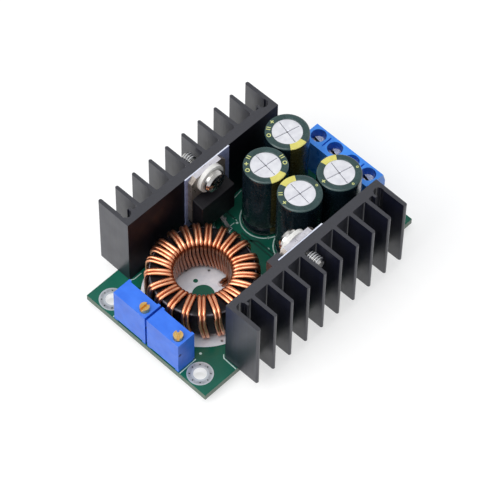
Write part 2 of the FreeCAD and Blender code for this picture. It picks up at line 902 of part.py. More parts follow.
def make_adjuster(start_y, slot_turn):
    """Brass adjusting screw, with its slotted head above the roof."""
    x, y = adjuster_axis(start_y)
    head_top = board_top + trimmer_height + adjuster_rise
    flange = flange_top()
    thread_foot = board_top + trimmer_foot + trimmer_base + sliding_clearance
    screw = fused([rod(adjuster_diameter, x, y, flange, head_top),
                   rod(adjuster_flange_diameter, x, y, flange - adjuster_flange, flange),
                   rod(adjuster_thread_diameter, x, y, thread_foot, flange)])
    half = adjuster_slot/2
    slot = box(-adjuster_diameter, adjuster_diameter, -half, half, head_top - adjuster_slot_depth, head_top)
    slot.rotate(Vector(0, 0, 0), Vector(0, 0, 1), slot_turn)
    slot.translate(Vector(x, y, 0))
    return screw.cut(slot)


def make_wiper(start_y):
    """Carriage on the adjusting screw, at the lowest end of its travel."""
    x, y = adjuster_axis(start_y)
    front, back = cavity_faces()
    foot = flange_top() - adjuster_flange - sliding_clearance - wiper_travel - wiper_height
    near = start_y + trimmer_wall + sliding_clearance
    block = box(front + sliding_clearance, back - element_thickness - sliding_clearance,
                near, near + wiper_length, foot, foot + wiper_height)
    bore = adjuster_thread_diameter + 2*running_clearance
    return block.cut(rod(bore, x, y, foot, foot + wiper_height))


def cell_faces():
    """Back and front faces of the space inside a terminal block."""
    return block_back_x + block_wall, block_front_x - block_wall


def make_terminal_housing(middle_y):
    """Moulded block with a cell, a wire entry and a screw hole for each pole."""
    half = block_poles*pole_pitch/2
    top = board_top + block_height
    slope = board_top + block_slope_rise
    lip_x = block_back_x + block_top_depth
    near = middle_y - half
    sides = [Vector(block_back_x, near, board_top), Vector(block_front_x, near, board_top),
             Vector(block_front_x, near, slope), Vector(lip_x, near, top), Vector(block_back_x, near, top)]
    block = plate(sides, Vector(0, 2*half, 0))
    back, front = cell_faces()
    cell_half = (pole_pitch - block_pole_wall)/2
    ledge_foot = board_top + block_ledge_foot
    ledge_top = ledge_foot + block_ledge
    entry_foot = board_top + block_entry_foot
    cuts = []
    for side in (-1, 1):
        cuts.append(box(block_back_x, block_back_x + block_notch, middle_y + side*half - block_notch,
                        middle_y + side*half + block_notch, board_top, top))
    for pole_y in poles_of(middle_y):
        cuts.append(box(back, front, pole_y - cell_half, pole_y + cell_half,
                        board_top + block_floor, ledge_foot))
        cuts.append(box(block_back_x + block_wall, block_back_x + block_wall + contact_thickness,
                        pole_y - contact_pin_width/2, pole_y + contact_pin_width/2,
                        board_top, board_top + block_floor))
        cuts.append(rod(clamp_screw_diameter + 2*sliding_clearance, pole_x(), pole_y, ledge_foot, ledge_top))
        cuts.append(rod(block_hole_diameter, pole_x(), pole_y, ledge_top, top))
        cuts.append(box(front, block_front_x, pole_y - block_entry_width/2, pole_y + block_entry_width/2,
                        entry_foot, entry_foot + block_entry_height))
    cuts.append(block_slot(middle_y, top))
    return block.cut(cuts)


def poles_of(middle_y):
    """Y of the poles of one block."""
    return [middle_y + (index - (block_poles - 1)/2)*pole_pitch for index in range(block_poles)]


def block_slot(middle_y, top):
    """Thin round-ended slot in the top, between the two screws."""
    reach = (block_slot_length - block_slot_width)/2
    floor = top - block_slot_depth
    half = block_slot_width/2
    x = pole_x()
    middle = box(x - reach, x + reach, middle_y - half, middle_y + half, floor, top)
    ends = [rod(block_slot_width, x + side*reach, middle_y, floor, top) for side in (-1, 1)]
    return fused([middle] + ends)


def tongue_foot():
    """Underside of the fixed contact, above the gap for the wire."""
    return board_top + block_floor + cage_lift + cage_wall + wire_gap_height


def make_clamp_screw(pole_y, slot_turn):
    """Slotted clamping screw, its head on the ledge of the housing."""
    x = pole_x()
    seat = board_top + block_ledge_foot + block_ledge
    head_top = seat + clamp_screw_head_height
    foot = tongue_foot() + tongue_thickness + screw_tongue_gap
    screw = fused([rod(clamp_screw_head_diameter, x, pole_y, seat, head_top),
                   rod(clamp_screw_diameter, x, pole_y, foot, seat)])
    half = clamp_screw_slot/2
    slot = box(-clamp_screw_head_diameter, clamp_screw_head_diameter, -half, half,
               head_top - clamp_screw_slot_depth, head_top)
    slot.rotate(Vector(0, 0, 0), Vector(0, 0, 1), slot_turn)
    slot.translate(Vector(x, pole_y, 0))
    return screw.cut(slot)


def make_cage(pole_y):
    """Rising clamp: a rectangular ring round the fixed contact, at its lowest place."""
    x = pole_x()
    half_length_cage = cage_length/2
    half_cage = cage_width/2
    foot = board_top + block_floor + cage_lift
    tongue_top = tongue_foot() + tongue_thickness
    window_top = tongue_top + tongue_gap
    top = window_top + cage_top
    ring = box(x - half_length_cage, x + half_length_cage, pole_y - half_cage, pole_y + half_cage, foot, top)
    window = box(x - half_length_cage, x + half_length_cage, pole_y - half_cage + cage_wall,
                 pole_y + half_cage - cage_wall, foot + cage_wall, window_top)
    bore = rod(clamp_screw_diameter + 2*running_clearance, x, pole_y, window_top, top)
    return ring.cut([window, bore])


def make_contact(pole_y):
    """Fixed contact: a tongue through the cage, a riser at the back and a solder pin."""
    back, front = cell_faces()
    riser_front = back + contact_thickness
    top = tongue_foot() + tongue_thickness
    tongue = box(back, front, pole_y - tongue_width/2, pole_y + tongue_width/2, tongue_foot(), top)
    riser = box(back, riser_front, pole_y - tongue_width/2, pole_y + tongue_width/2,
                board_top + block_floor, top)
    pin = box(back, riser_front, pole_y - contact_pin_width/2, pole_y + contact_pin_width/2,
              lead_end, board_top + block_floor)
    return fused([tongue, riser, pin])


def solder_fillet(x, y, width, bores):
    """Solder that fills one hole and spreads into a cone under the board."""
    hole = width + hole_clearance - 2*seat_clearance
    pad = hole/2 + solder_pad_margin
    neck = width/2 + solder_neck
    cone = Part.makeCone(neck, pad, solder_height, Vector(x, y, board_bottom - solder_height))
    return fused([cone, rod(hole, x, y, board_bottom - solder_neck, board_top)]).cut(bores)


def make_solder_joints():
    """One soldered joint for every lead."""
    joints = []
    low = board_bottom - solder_height
    round_leads = [(x, y, pin_tail_diameter) for x, y in pocket_places()]
    round_leads += [(x, y, cap_lead_diameter) for x, y in capacitor_lead_places()]
    for start_y in trimmer_starts():
        round_leads += [(x, y, trimmer_pin_diameter) for x, y in trimmer_pin_places(start_y)]
    for x, y, width in round_leads:
        joints.append(solder_fillet(x, y, width, [rod(width + 2*seat_clearance, x, y, low, board_top)]))
    flat_leads = [(x, y, lead_width, lead_thickness)
                  for x, y in regulator_lead_places() + rectifier_lead_places()]
    flat_leads += [(contact_pin_x(), y, contact_thickness, contact_pin_width) for y in pole_places()]
    for x, y, size_x, size_y in flat_leads:
        bore = box(x - size_x/2, x + size_x/2, y - size_y/2, y + size_y/2, low, board_top)
        joints.append(solder_fillet(x, y, math.hypot(size_x, size_y), [bore]))
    angles = (start_azimuth, end_azimuth)
    radii = (coil_outer, coil_inner - end_lead_inset)
    for (x, y), angle, radius in zip(coil_lead_places(), angles, radii):
        bores = []
        for offset in (-pair_offset, pair_offset):
            spot = coil_point(radius, angle, low, offset)
            bores.append(rod(wire_diameter + 2*seat_clearance, spot.x, spot.y, low, board_top))
        joints.append(solder_fillet(x, y, coil_hole_diameter() - hole_clearance, bores))
    return joints


def chip(x, y, size_x, size_y, height):
    """A small block soldered flat to the underside."""
    return box(x - size_x/2, x + size_x/2, y - size_y/2, y + size_y/2, board_bottom - height, board_bottom)


def make_op_amp():
    """Eight-lead amplifier that regulates voltage and current."""
    x = coil_x + amplifier_x
    y = coil_y + amplifier_y
    pieces = [chip(x, y, *amplifier_body)]
    for index in range(amplifier_leads):
        lead_x = x + (index - (amplifier_leads - 1)/2)*amplifier_lead_pitch
        pieces.append(chip(lead_x, y, amplifier_lead_width, amplifier_span, gull_lead_thickness))
    return fused(pieces)


def make_small_regulator():
    """Three-lead regulator that supplies the amplifier."""
    x = coil_x + small_regulator_x
    y = coil_y + small_regulator_y
    edge = small_regulator_body[1]/2
    pieces = [chip(x, y, *small_regulator_body)]
    pieces.append(chip(x, y + edge, small_regulator_tab[0], 2*small_regulator_tab[1], gull_lead_thickness))
    for step in (-1, 0, 1):
        lead_x = x + step*small_regulator_lead_pitch
        pieces.append(chip(lead_x, y - edge, amplifier_lead_width, 2*small_regulator_lead_length,
                           gull_lead_thickness))
    return fused(pieces)


def chip_row(x, y, count, size):
    """Chips side by side along X."""
    pitch = size[0] + chip_gap
    return [chip(x + index*pitch, y, *size) for index in range(count)]


def save(name, shape):
    """Write one piece, or a group of like pieces, to its own file."""
    if isinstance(shape, list):
        shape = Part.makeCompound(shape)
    shape.exportStep("parts/" + name + ".step")


def main():
    os.makedirs("parts", exist_ok=True)
    save("circuit_board", make_board())
    save("mounting_hole_liners", make_liners())
    save("inductor_land", make_land())
    save("rear_heatsink", drilled_sink(rear_sink_x, regulator_x))
    save("front_heatsink", make_front_sink())
    save("heatsink_pins", make_sink_pins())

    regulator_tab = make_tab(regulator_x)
    regulator_leads = make_regulator_leads()
    save("regulator_tab", regulator_tab)
    save("regulator_leads", regulator_leads)
    save("regulator_case", make_case(regulator_x, regulator_tab, regulator_leads))
    rectifier_tab = make_tab(rectifier_x)
    rectifier_leads = make_rectifier_leads()
    save("rectifier_tab", on_front(rectifier_tab))
    save("rectifier_leads", rectifier_leads)
    rear_leads = [on_front(lead) for lead in rectifier_leads]
    save("rectifier_case", on_front(make_case(rectifier_x, rectifier_tab, rear_leads)))
    save("rear_insulating_pad", make_pad(regulator_x, regulator_x + rear_pad_shift))
    save("front_insulating_pad", on_front(make_pad(rectifier_x, rectifier_x)))
    save("shoulder_washers", [make_washer(regulator_x), on_front(make_washer(rectifier_x))])
    save("package_screws", [make_screw(regulator_x), on_front(make_screw(rectifier_x))])

    save("inductor_core", make_core())
    save("inductor_wire_1", make_wire(-pair_offset))
    save("inductor_wire_2", make_wire(pair_offset))

    bungs = []
    for number, (x, y, turn) in enumerate(capacitor_places(), 1):
        save(f"capacitor_{number}_can", make_can(x, y, turn))
        save(f"capacitor_{number}_sleeve", make_sleeve(x, y))
        bungs.append(make_bung(x, y, turn))
    save("capacitor_bungs", bungs)
    save("capacitor_leads", make_capacitor_leads())

    slot_turns = (adjuster_slot_turn_1, adjuster_slot_turn_2)
    for number, (start_y, slot_turn) in enumerate(zip(trimmer_starts(), slot_turns), 1):
        save(f"trimmer_{number}_housing", make_trimmer_housing(start_y))
        save(f"trimmer_{number}_base", make_trimmer_base(start_y))
        save(f"trimmer_{number}_pins", make_trimmer_pins(start_y))
        save(f"trimmer_{number}_element", make_element(start_y))
        save(f"trimmer_{number}_screw", make_adjuster(start_y, slot_turn))
        save(f"trimmer_{number}_wiper", make_wiper(start_y))

    for number in range(1, block_count + 1):
        middle_y = (number - (block_count + 1)/2)*block_poles*pole_pitch
        save(f"terminal_housing_{number}", make_terminal_housing(middle_y))
    for number, pole_y in enumerate(pole_places(), 1):
        save(f"terminal_screw_{number}", make_clamp_screw(pole_y, clamp_slot_turns[number - 1]))
        save(f"terminal_clamp_{number}", make_cage(pole_y))
    save("terminal_contacts", [make_contact(pole_y) for pole_y in pole_places()])

    save("solder_joints", make_solder_joints())
    save("op_amp", make_op_amp())
    save("small_regulator", make_small_regulator())
    save("chip_resistors", chip_row(coil_x + chip_resistor_x, coil_y + chip_resistor_y,
                                    chip_resistor_count, chip_resistor))
    save("chip_capacitors", chip_row(coil_x + chip_capacitor_x, coil_y + chip_capacitor_y,
                                     chip_capacitor_count, chip_capacitor))
    sense_x = block_back_x - sense_resistor_gap - sense_resistor[0]/2
    save("sense_resistor", chip(sense_x, 0, *sense_resistor))


main()
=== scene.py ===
"""Looks of the buck converter module: materials, wound wire, printed and soldered detail."""
import json
import math

import bmesh
import bpy
from mathutils import Matrix, Vector


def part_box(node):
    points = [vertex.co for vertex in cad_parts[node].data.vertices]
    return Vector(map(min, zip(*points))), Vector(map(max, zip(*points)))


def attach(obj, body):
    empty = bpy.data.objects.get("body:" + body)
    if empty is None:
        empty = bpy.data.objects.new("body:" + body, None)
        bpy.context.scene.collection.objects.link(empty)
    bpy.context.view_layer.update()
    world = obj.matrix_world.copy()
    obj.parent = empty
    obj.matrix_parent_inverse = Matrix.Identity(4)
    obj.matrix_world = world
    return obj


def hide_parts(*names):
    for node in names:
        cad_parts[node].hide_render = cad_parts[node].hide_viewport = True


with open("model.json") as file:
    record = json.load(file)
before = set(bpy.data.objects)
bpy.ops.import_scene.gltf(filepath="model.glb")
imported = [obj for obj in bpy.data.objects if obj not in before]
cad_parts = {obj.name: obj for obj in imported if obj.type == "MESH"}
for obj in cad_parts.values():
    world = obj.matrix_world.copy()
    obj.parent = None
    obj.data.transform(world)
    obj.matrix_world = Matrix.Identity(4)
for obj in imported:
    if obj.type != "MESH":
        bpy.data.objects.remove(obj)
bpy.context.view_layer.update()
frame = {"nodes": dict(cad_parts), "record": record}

MM = 0.001
UP = Vector((0, 0, 1))

# Strengths of the light, and the band of directions in which the ceiling dims
FILL_LIGHT = 0.5
CEILING = 0.55
CEILING_BAND = (0.4, 0.8)
FLOOR_COLOUR = 0.46
FLOOR_GLOW = 0.58
LAMP_AIM = (0, 0, 0.01)
LAMPS = [("key_lamp", (-0.55, 0.1, 0.5), 0.5, 3.0, (1.0, 0.99, 0.97)),
         ("top_lamp", (-0.12, 0.0, 0.8), 0.6, 2.6, (1.0, 1.0, 1.0))]


# Places taken from the frame, in millimetres

def box_mm(node):
    """Lowest and highest corners of a CAD node."""
    low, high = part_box(node)
    return Vector(low)/MM, Vector(high)/MM


def middle_mm(node):
    """Middle of a CAD node's box."""
    low, high = box_mm(node)
    return (low + high)/2


BOARD_BOTTOM, BOARD_TOP = [corner.z for corner in box_mm("circuit_board")]
HOLES = frame["record"]["mounts"][0]["dims"]
HOLE_X = HOLES["spacing_x_mm"]/2
HOLE_Y = HOLES["spacing_y_mm"]/2
COIL = middle_mm("inductor_core")
COIL.z = 0


# Sizes in millimetres that more than one section uses

# Axis of each capacitor, and the angle of its stripe in degrees
CAPACITORS = [(19.2, 8.10, -103.5), (9.40, 5.15, -96.8), (9.21, -5.30, 81.7), (19.2, -7.50, 76.4)]

# Thickness of the layers on the board, and the gap that keeps them off its faces
SILK = 0.02
TRACK = 0.035
TIN = 0.058
LAND = 0.1
GAP = 0.002

# Where finishes change: round the small vias; where painted shade starts in the terminal screw holes and on
# the heatsinks' inner faces; and at the can face, above which the sleeves are painted lighter as painted
# light
VIA_CIRCLE = 2.3
HOLE_WALL = 1.9
BASE_FACE_REACH = 15.5
CAN_FACE = 19.86


# Camera, light and ground

def new_object(name, data):
    """A new object in the scene."""
    made = bpy.data.objects.new(name, data)
    bpy.context.scene.collection.objects.link(made)
    return made


def make_camera():
    """The photograph's view of the module."""
    data = bpy.data.cameras.new("view")
    data.lens = 209.4
    data.sensor_width = 36
    camera = new_object("view", data)
    right = Vector((0.70077, -0.71330, 0.01090))
    up = Vector((0.58165, 0.58015, 0.57018))
    back = Vector((-0.41304, -0.39322, 0.82145))
    turn = Matrix((right, up, back)).transposed().to_4x4()
    place = (-0.253099, -0.237524, 0.509615)
    camera.matrix_world = Matrix.Translation(place) @ turn
    bpy.context.scene.camera = camera


def add_lamp(name, place, size, watts, colour):
    """A soft square lamp that points at the module."""
    data = bpy.data.lights.new(name, "AREA")
    data.shape = "SQUARE"
    data.size = size
    data.energy = watts
    data.color = colour
    lamp = new_object(name, data)
    lamp.location = place
    lamp.rotation_euler = (Vector(place) - Vector(LAMP_AIM)).to_track_quat("Z", "Y").to_euler()


def add_node(tree, kind, links=(), values=(), **settings):
    """A shader node with its properties, the sources of its inputs and the values of others."""
    made = tree.nodes.new(kind)
    for key, setting in settings.items():
        setattr(made, key, setting)
    for socket, source in links:
        tree.links.new(source, made.inputs[socket])
    for socket, value in values:
        made.inputs[socket].default_value = value
    return made


def seen_directly(tree):
    """1 for what the camera sees itself, by reflection or through glass, and 0 for the light it gives."""
    path = add_node(tree, "ShaderNodeLightPath")
    total = path.outputs["Is Camera Ray"]
    for output in ("Is Glossy Ray", "Is Transmission Ray"):
        links = [(0, total), (1, path.outputs[output])]
        total = add_node(tree, "ShaderNodeMath", links, operation="MAXIMUM").outputs[0]
    return total


def make_world():
    """Even light from all round. It is white behind the floor, and dimmer overhead in reflections."""
    world = bpy.data.worlds.new("studio")
    bpy.context.scene.world = world
    world.use_nodes = True
    tree = world.node_tree
    tree.nodes.clear()
    direction = add_node(tree, "ShaderNodeTexCoord")
    split = add_node(tree, "ShaderNodeSeparateXYZ", [(0, direction.outputs["Generated"])])
    limits = zip(("From Min", "From Max", "To Min", "To Max"), (*CEILING_BAND, 1.0, CEILING))
    ceiling = add_node(tree, "ShaderNodeMapRange", [("Value", split.outputs["Z"])], limits)
    path = add_node(tree, "ShaderNodeLightPath")
    links = [(0, ceiling.outputs[0]), (1, path.outputs["Is Camera Ray"])]
    level = add_node(tree, "ShaderNodeMath", links, operation="MAXIMUM")
    fill = add_node(tree, "ShaderNodeBackground",
                    values=[("Color", (0.95, 0.97, 1.0, 1)), ("Strength", FILL_LIGHT)])
    white = add_node(tree, "ShaderNodeBackground", [("Strength", level.outputs[0])],
                     [("Color", (1, 1, 1, 1))])
    mix = add_node(tree, "ShaderNodeMixShader",
                   [(0, seen_directly(tree)), (1, fill.outputs[0]), (2, white.outputs[0])])
    add_node(tree, "ShaderNodeOutputWorld", [("Surface", mix.outputs[0])])


def make_floor():
    """A plain white table top, a little below the module's lowest point."""
    half = 3.0
    mesh = bpy.data.meshes.new("table_top")
    corners = [(-half, -half, 0), (half, -half, 0), (half, half, 0), (-half, half, 0)]
    mesh.from_pydata(corners, [], [(0, 1, 2, 3)])
    material = bpy.data.materials.new("table_white")
    material.use_nodes = True
    tree = material.node_tree
    tree.nodes.clear()
    grey = (FLOOR_COLOUR, FLOOR_COLOUR, FLOOR_COLOUR, 1)
    plain = add_node(tree, "ShaderNodeBsdfDiffuse", values=[("Color", grey)])
    scale = add_node(tree, "ShaderNodeMath", [(0, seen_directly(tree))], [(1, FLOOR_GLOW)],
                     operation="MULTIPLY")
    glow = add_node(tree, "ShaderNodeEmission", [("Strength", scale.outputs[0])],
                    [("Color", (1, 1, 1, 1))])
    both = add_node(tree, "ShaderNodeAddShader", [(0, plain.outputs[0]), (1, glow.outputs[0])])
    add_node(tree, "ShaderNodeOutputMaterial", [("Surface", both.outputs[0])])
    mesh.materials.append(material)
    floor = new_object("table_top", mesh)
    floor.location.z = -0.00002


# Materials

def srgb(red, lit_and_shaded_green, blue):
    """A colour given in display values from 0 to 255."""
    def linear(value):
        share = value/255
        return share/12.92 if share <= 0.04045 else ((share + 0.055)/1.055)**2.4
    return (linear(red), linear(lit_and_shaded_green), linear(blue), 1)


class Finish:
    """A procedural finish on the Principled shader, in the piece's own coordinates."""

    def __init__(self, name, roughness=0.4, metallic=0.0, ior=1.5, coat=0.0, coat_roughness=0.1):
        self.material = bpy.data.materials.new(name)
        self.material.use_nodes = True
        self.tree = self.material.node_tree
        self.shader = self.tree.nodes["Principled BSDF"]
        for socket, value in (("Roughness", roughness), ("Metallic", metallic), ("IOR", ior),
                              ("Coat Weight", coat), ("Coat Roughness", coat_roughness)):
            self.shader.inputs[socket].default_value = value
        self.place = add_node(self.tree, "ShaderNodeTexCoord")
        self.height = None

    def link(self, start, end):
        """A wire from an output socket to an input socket."""
        self.tree.links.new(start, end)

    def noise(self, per_metre, detail=3.0, stretch=(1, 1, 1)):
        """Noise with that many features a metre."""
        scale = [per_metre*share for share in stretch]
        mapping = add_node(self.tree, "ShaderNodeMapping", [("Vector", self.place.outputs["Object"])],
                           [("Scale", scale)])
        noise = add_node(self.tree, "ShaderNodeTexNoise", [("Vector", mapping.outputs[0])],
                         [("Scale", 1.0), ("Detail", detail)])
        return noise.outputs["Fac"]

    def spread(self, value, low, high, start=0.3, end=0.7):
        """A value's middle range carried over to another range."""
        limits = zip(("From Min", "From Max", "To Min", "To Max"), (start, end, low, high))
        ranged = add_node(self.tree, "ShaderNodeMapRange", [("Value", value)], limits)
        return ranged.outputs["Result"]

    def math(self, operation, first, second=0.0):
        """One step of arithmetic on numbers or sockets."""
        step = add_node(self.tree, "ShaderNodeMath", operation=operation)
        for socket, value in zip(step.inputs, (first, second)):
            if isinstance(value, (int, float)):
                socket.default_value = value
            else:
                self.link(value, socket)
        return step.outputs[0]

    def mix(self, share, first, second):
        """A colour between two, which are colours or sockets."""
        mixed = add_node(self.tree, "ShaderNodeMix", [("Factor", share)], data_type="RGBA")
        for socket, value in ((mixed.inputs[6], first), (mixed.inputs[7], second)):
            if isinstance(value, tuple):
                socket.default_value = value
            else:
                self.link(value, socket)
        return mixed.outputs[2]

    def colour(self, socket):
        """The finish's own colour."""
        self.link(socket, self.shader.inputs["Base Color"])

    def rough(self, low, high, per_metre):
        """Roughness that varies between two values."""
        self.link(self.spread(self.noise(per_metre), low, high), self.shader.inputs["Roughness"])

    def bump(self, socket, depth):
        """Relief of that depth in metres, added over what is there."""
        made = add_node(self.tree, "ShaderNodeBump", [("Height", socket)],
                        [("Strength", 1.0), ("Distance", depth)])
        if self.height is not None:
            self.link(self.height, made.inputs["Normal"])
        self.height = made.outputs[0]
        self.link(self.height, self.shader.inputs["Normal"])

    def along(self, kind, axis):
        """One coordinate of the point or of its normal, in the piece's own frame."""
        split = add_node(self.tree, "ShaderNodeSeparateXYZ", [(0, self.place.outputs[kind])])
        return split.outputs[axis]

    def facing(self, axis):
        """1 on faces that look along an axis, either way, and 0 on the others."""
        return self.math("GREATER_THAN", self.math("ABSOLUTE", self.along("Normal", axis)), 0.75)

    def away_from(self, x, y, mirrored=False):
        """Distance in metres from an upright axis, or from the nearest of its mirror images in X and Y."""
        squares = []
        for axis, centre in (("X", x), ("Y", y)):
            value = self.along("Object", axis)
            if mirrored:
                value = self.math("ABSOLUTE", value)
            offset = self.math("SUBTRACT", value, centre)
            squares.append(self.math("MULTIPLY", offset, offset))
        return self.math("SQRT", self.math("ADD", *squares))


def matt(name, dark, light, per_metre, rough, depth, grain, **shader):
    """Plastic, resin, print or rubber: the colour drifts between two near shades, with fine relief."""
    made = Finish(name, **shader)
    drift = made.spread(made.noise(per_metre, 4.0), 0.0, 1.0)
    made.colour(made.mix(drift, srgb(*dark), srgb(*light)))
    made.rough(*rough, per_metre*1.7)
    made.bump(made.noise(grain), depth)
    return made.material


def metal(name, dark, light, rough, depth, metallic=1.0):
    """Tin, solder, plating or bare metal, with soft ripples and dull patches."""
    made = Finish(name, metallic=metallic)
    patch = made.spread(made.noise(700.0, 5.0), 0.0, 1.0)
    made.colour(made.mix(patch, srgb(*dark), srgb(*light)))
    made.rough(*rough, 1200.0)
    made.bump(made.noise(900.0, 2.0), depth)
    return made.material


def make_anodised():
    """Black anodised extrusion: streaks along its length, finely sawn ends, and painted shade on the inner
    faces of the base, which get weaker, darker reflections.
    """
    made = Finish("black_anodised", ior=1.68)
    streak = made.spread(made.noise(1.0, 4.0, (2600, 2600, 45)), 0.0, 1.0)
    cloud = made.spread(made.noise(260.0), 0.0, 1.0)
    side = made.mix(streak, srgb(9, 10, 22), srgb(22, 25, 44))
    cut = made.mix(made.spread(made.noise(2200.0, 5.0), 0.0, 1.0), srgb(22, 23, 33), srgb(32, 34, 45))
    ends = made.facing("Z")
    # Painted shade: the base's inner faces, which face the parts, get a dark metallic colour, so they
    # reflect less and look darker
    within = made.math("LESS_THAN", made.math("ABSOLUTE", made.along("Object", "Y")), BASE_FACE_REACH*MM)
    inner = made.math("MULTIPLY", made.facing("Y"), within)
    made.colour(made.mix(inner, made.mix(ends, side, cut), srgb(38, 38, 50)))
    made.link(inner, made.shader.inputs["Metallic"])
    smooth = made.spread(cloud, 0.3, 0.4, 0.0, 1.0)
    coarser = made.math("MULTIPLY", made.math("ADD", ends, inner), 0.16)
    made.link(made.math("ADD", smooth, coarser), made.shader.inputs["Roughness"])
    made.bump(made.noise(1.0, 3.0, (3800, 3800, 60)), 0.000012)
    made.bump(made.math("MULTIPLY", made.noise(5200.0, 2.0), ends), 0.00001)
    return made.material


def make_mask():
    """Green solder mask over woven glass laminate, with bare edges."""
    made = Finish("board_mask", ior=1.45)
    cloud = made.spread(made.noise(110.0, 4.0), 0.0, 1.0)
    mask = made.mix(cloud, srgb(0, 82, 66), srgb(6, 102, 82))
    weave = made.spread(made.noise(1.0, 3.0, (2600, 2600, 9000)), 0.0, 1.0)
    edge = made.mix(weave, srgb(62, 92, 74), srgb(104, 120, 102))
    made.colour(made.mix(made.facing("Z"), edge, mask))
    made.rough(0.28, 0.42, 500.0)
    made.bump(made.noise(1500.0), 0.000012)
    return made.material


def make_core_finish():
    """Dark epoxy coating on pressed powder, faintly dusty, with a pale painted highlight along its sloping
    upper edges.
    """
    made = Finish("core_coating", ior=1.25)
    speckle = made.spread(made.noise(2600.0, 5.0), 0.0, 1.0, 0.4, 0.62)
    patch = made.spread(made.noise(420.0), 0.0, 1.0)
    body = made.mix(patch, srgb(6, 4, 7), srgb(14, 11, 14))
    dusted = made.mix(made.math("MULTIPLY", speckle, 0.12), body, srgb(60, 52, 60))
    # Painted highlight: a pale band on the rounded edge where the top turns down to the sides
    lean = made.along("Normal", "Z")
    on_edge = made.math("MULTIPLY", made.math("GREATER_THAN", lean, 0.6), made.math("LESS_THAN", lean, 0.85))
    painted_highlight = made.math("MULTIPLY", on_edge, made.spread(made.noise(300.0), 0.1, 0.9, 0.4, 0.6))
    made.colour(made.mix(painted_highlight, dusted, srgb(128, 124, 132)))
    made.rough(0.3, 0.5, 900.0)
    made.bump(made.noise(1900.0, 5.0), 0.00002)
    return made.material


def make_copper():
    """Enamelled copper wire: clear varnish over metal, with painted shade making it browner low down inside
    the coil.
    """
    made = Finish("enamelled_copper", metallic=1.0, coat=0.3, coat_roughness=0.12)
    tone = made.spread(made.noise(420.0, 4.0), 0.0, 1.0)
    bright = made.mix(tone, srgb(228, 146, 104), srgb(244, 181, 144))
    painted_shade_brown = made.mix(tone, srgb(138, 82, 56), srgb(162, 100, 70))
    # Painted shade: the copper is browner low down inside the coil
    inside = made.spread(made.away_from(COIL.x*MM, COIL.y*MM), 1.0, 0.0, 6.6*MM, 7.9*MM)
    depth = made.spread(made.along("Object", "Z"), 1.0, 0.0, 10.5*MM, 12.9*MM)
    made.colour(made.mix(made.math("MULTIPLY", inside, depth), bright, painted_shade_brown))
    made.rough(0.26, 0.36, 600.0)
    made.bump(made.noise(700.0, 2.0), 0.000003)
    return made.material


def make_sleeve_finish():
    """Dark green shrink sleeve with a yellow stripe on the piece's own +X side, painted lighter on its top
    and darker on its side as painted light and shade.
    """
    made = Finish("green_sleeve", coat=0.2)
    x = made.along("Object", "X")
    y = made.along("Object", "Y")
    angle = made.math("ABSOLUTE", made.math("ARCTAN2", y, x))
    stripe = made.math("LESS_THAN", angle, math.radians(24))
    # Painted light and shade: above the can face the green and the stripe are painted lighter, and on the
    # side darker
    rim = made.math("GREATER_THAN", made.along("Object", "Z"), (BOARD_TOP + CAN_FACE)*MM)
    drift = made.spread(made.noise(350.0), 0.0, 1.0)
    wall = made.mix(drift, srgb(9, 21, 28), srgb(18, 32, 40))
    edge = made.mix(drift, srgb(36, 60, 60), srgb(48, 74, 74))
    lit_and_shaded_green = made.mix(rim, wall, edge)
    band = made.mix(drift, srgb(208, 200, 100), srgb(224, 216, 126))
    shaded = made.mix(drift, srgb(50, 48, 24), srgb(66, 62, 32))
    lit_and_shaded_stripe = made.mix(rim, shaded, band)
    made.colour(made.mix(stripe, lit_and_shaded_green, lit_and_shaded_stripe))
    made.rough(0.2, 0.32, 700.0)
    made.bump(made.noise(1.0, 3.0, (420, 420, 60)), 0.000012)
    return made.material


def make_terminal_finish():
    """Blue moulded plastic, with painted shade in a deeper blue on the walls of the screw holes."""
    made = Finish("terminal_blue")
    nearest = None
    for number in range(1, 5):
        low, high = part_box("terminal_screw_%d" % number)
        away = made.away_from((low[0] + high[0])/2, (low[1] + high[1])/2)
        nearest = away if nearest is None else made.math("MINIMUM", nearest, away)
    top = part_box("terminal_housing_1")[1][2]
    # Painted shade: a deeper blue on the walls of the screw holes, below the top
    hole_shade = made.math("MULTIPLY", made.math("LESS_THAN", nearest, HOLE_WALL*MM),
                        made.math("LESS_THAN", made.along("Object", "Z"), top - 0.15*MM))
    drift = made.spread(made.noise(300.0, 4.0), 0.0, 1.0)
    skin = made.mix(drift, srgb(56, 138, 244), srgb(74, 156, 255))
    wall = made.mix(drift, srgb(22, 78, 176), srgb(32, 92, 194))
    made.colour(made.mix(hole_shade, skin, wall))
    made.rough(0.24, 0.36, 510.0)
    made.bump(made.noise(2600.0), 0.000005)
    return made.material


def make_clamp_screw_finish():
    """Plated screw heads with a painted bright top, and painted shade in the slots and on the head below its
    top.
    """
    made = Finish("clamp_screw", metallic=0.9)
    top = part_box("terminal_screw_1")[1][2]
    # Painted light and shade: bright on the top face, dark grey in the slot and on the head below the top
    on_top = made.math("GREATER_THAN", made.along("Object", "Z"), top - 0.1*MM)
    patch = made.spread(made.noise(900.0, 4.0), 0.0, 1.0)
    bright = made.mix(patch, srgb(214, 222, 232), srgb(246, 248, 252))
    painted_shade_grey = made.mix(patch, srgb(52, 56, 62), srgb(78, 82, 88))
    made.colour(made.mix(on_top, painted_shade_grey, bright))
    made.rough(0.16, 0.3, 1100.0)
    made.bump(made.noise(800.0, 2.0), 0.00008)
    return made.material


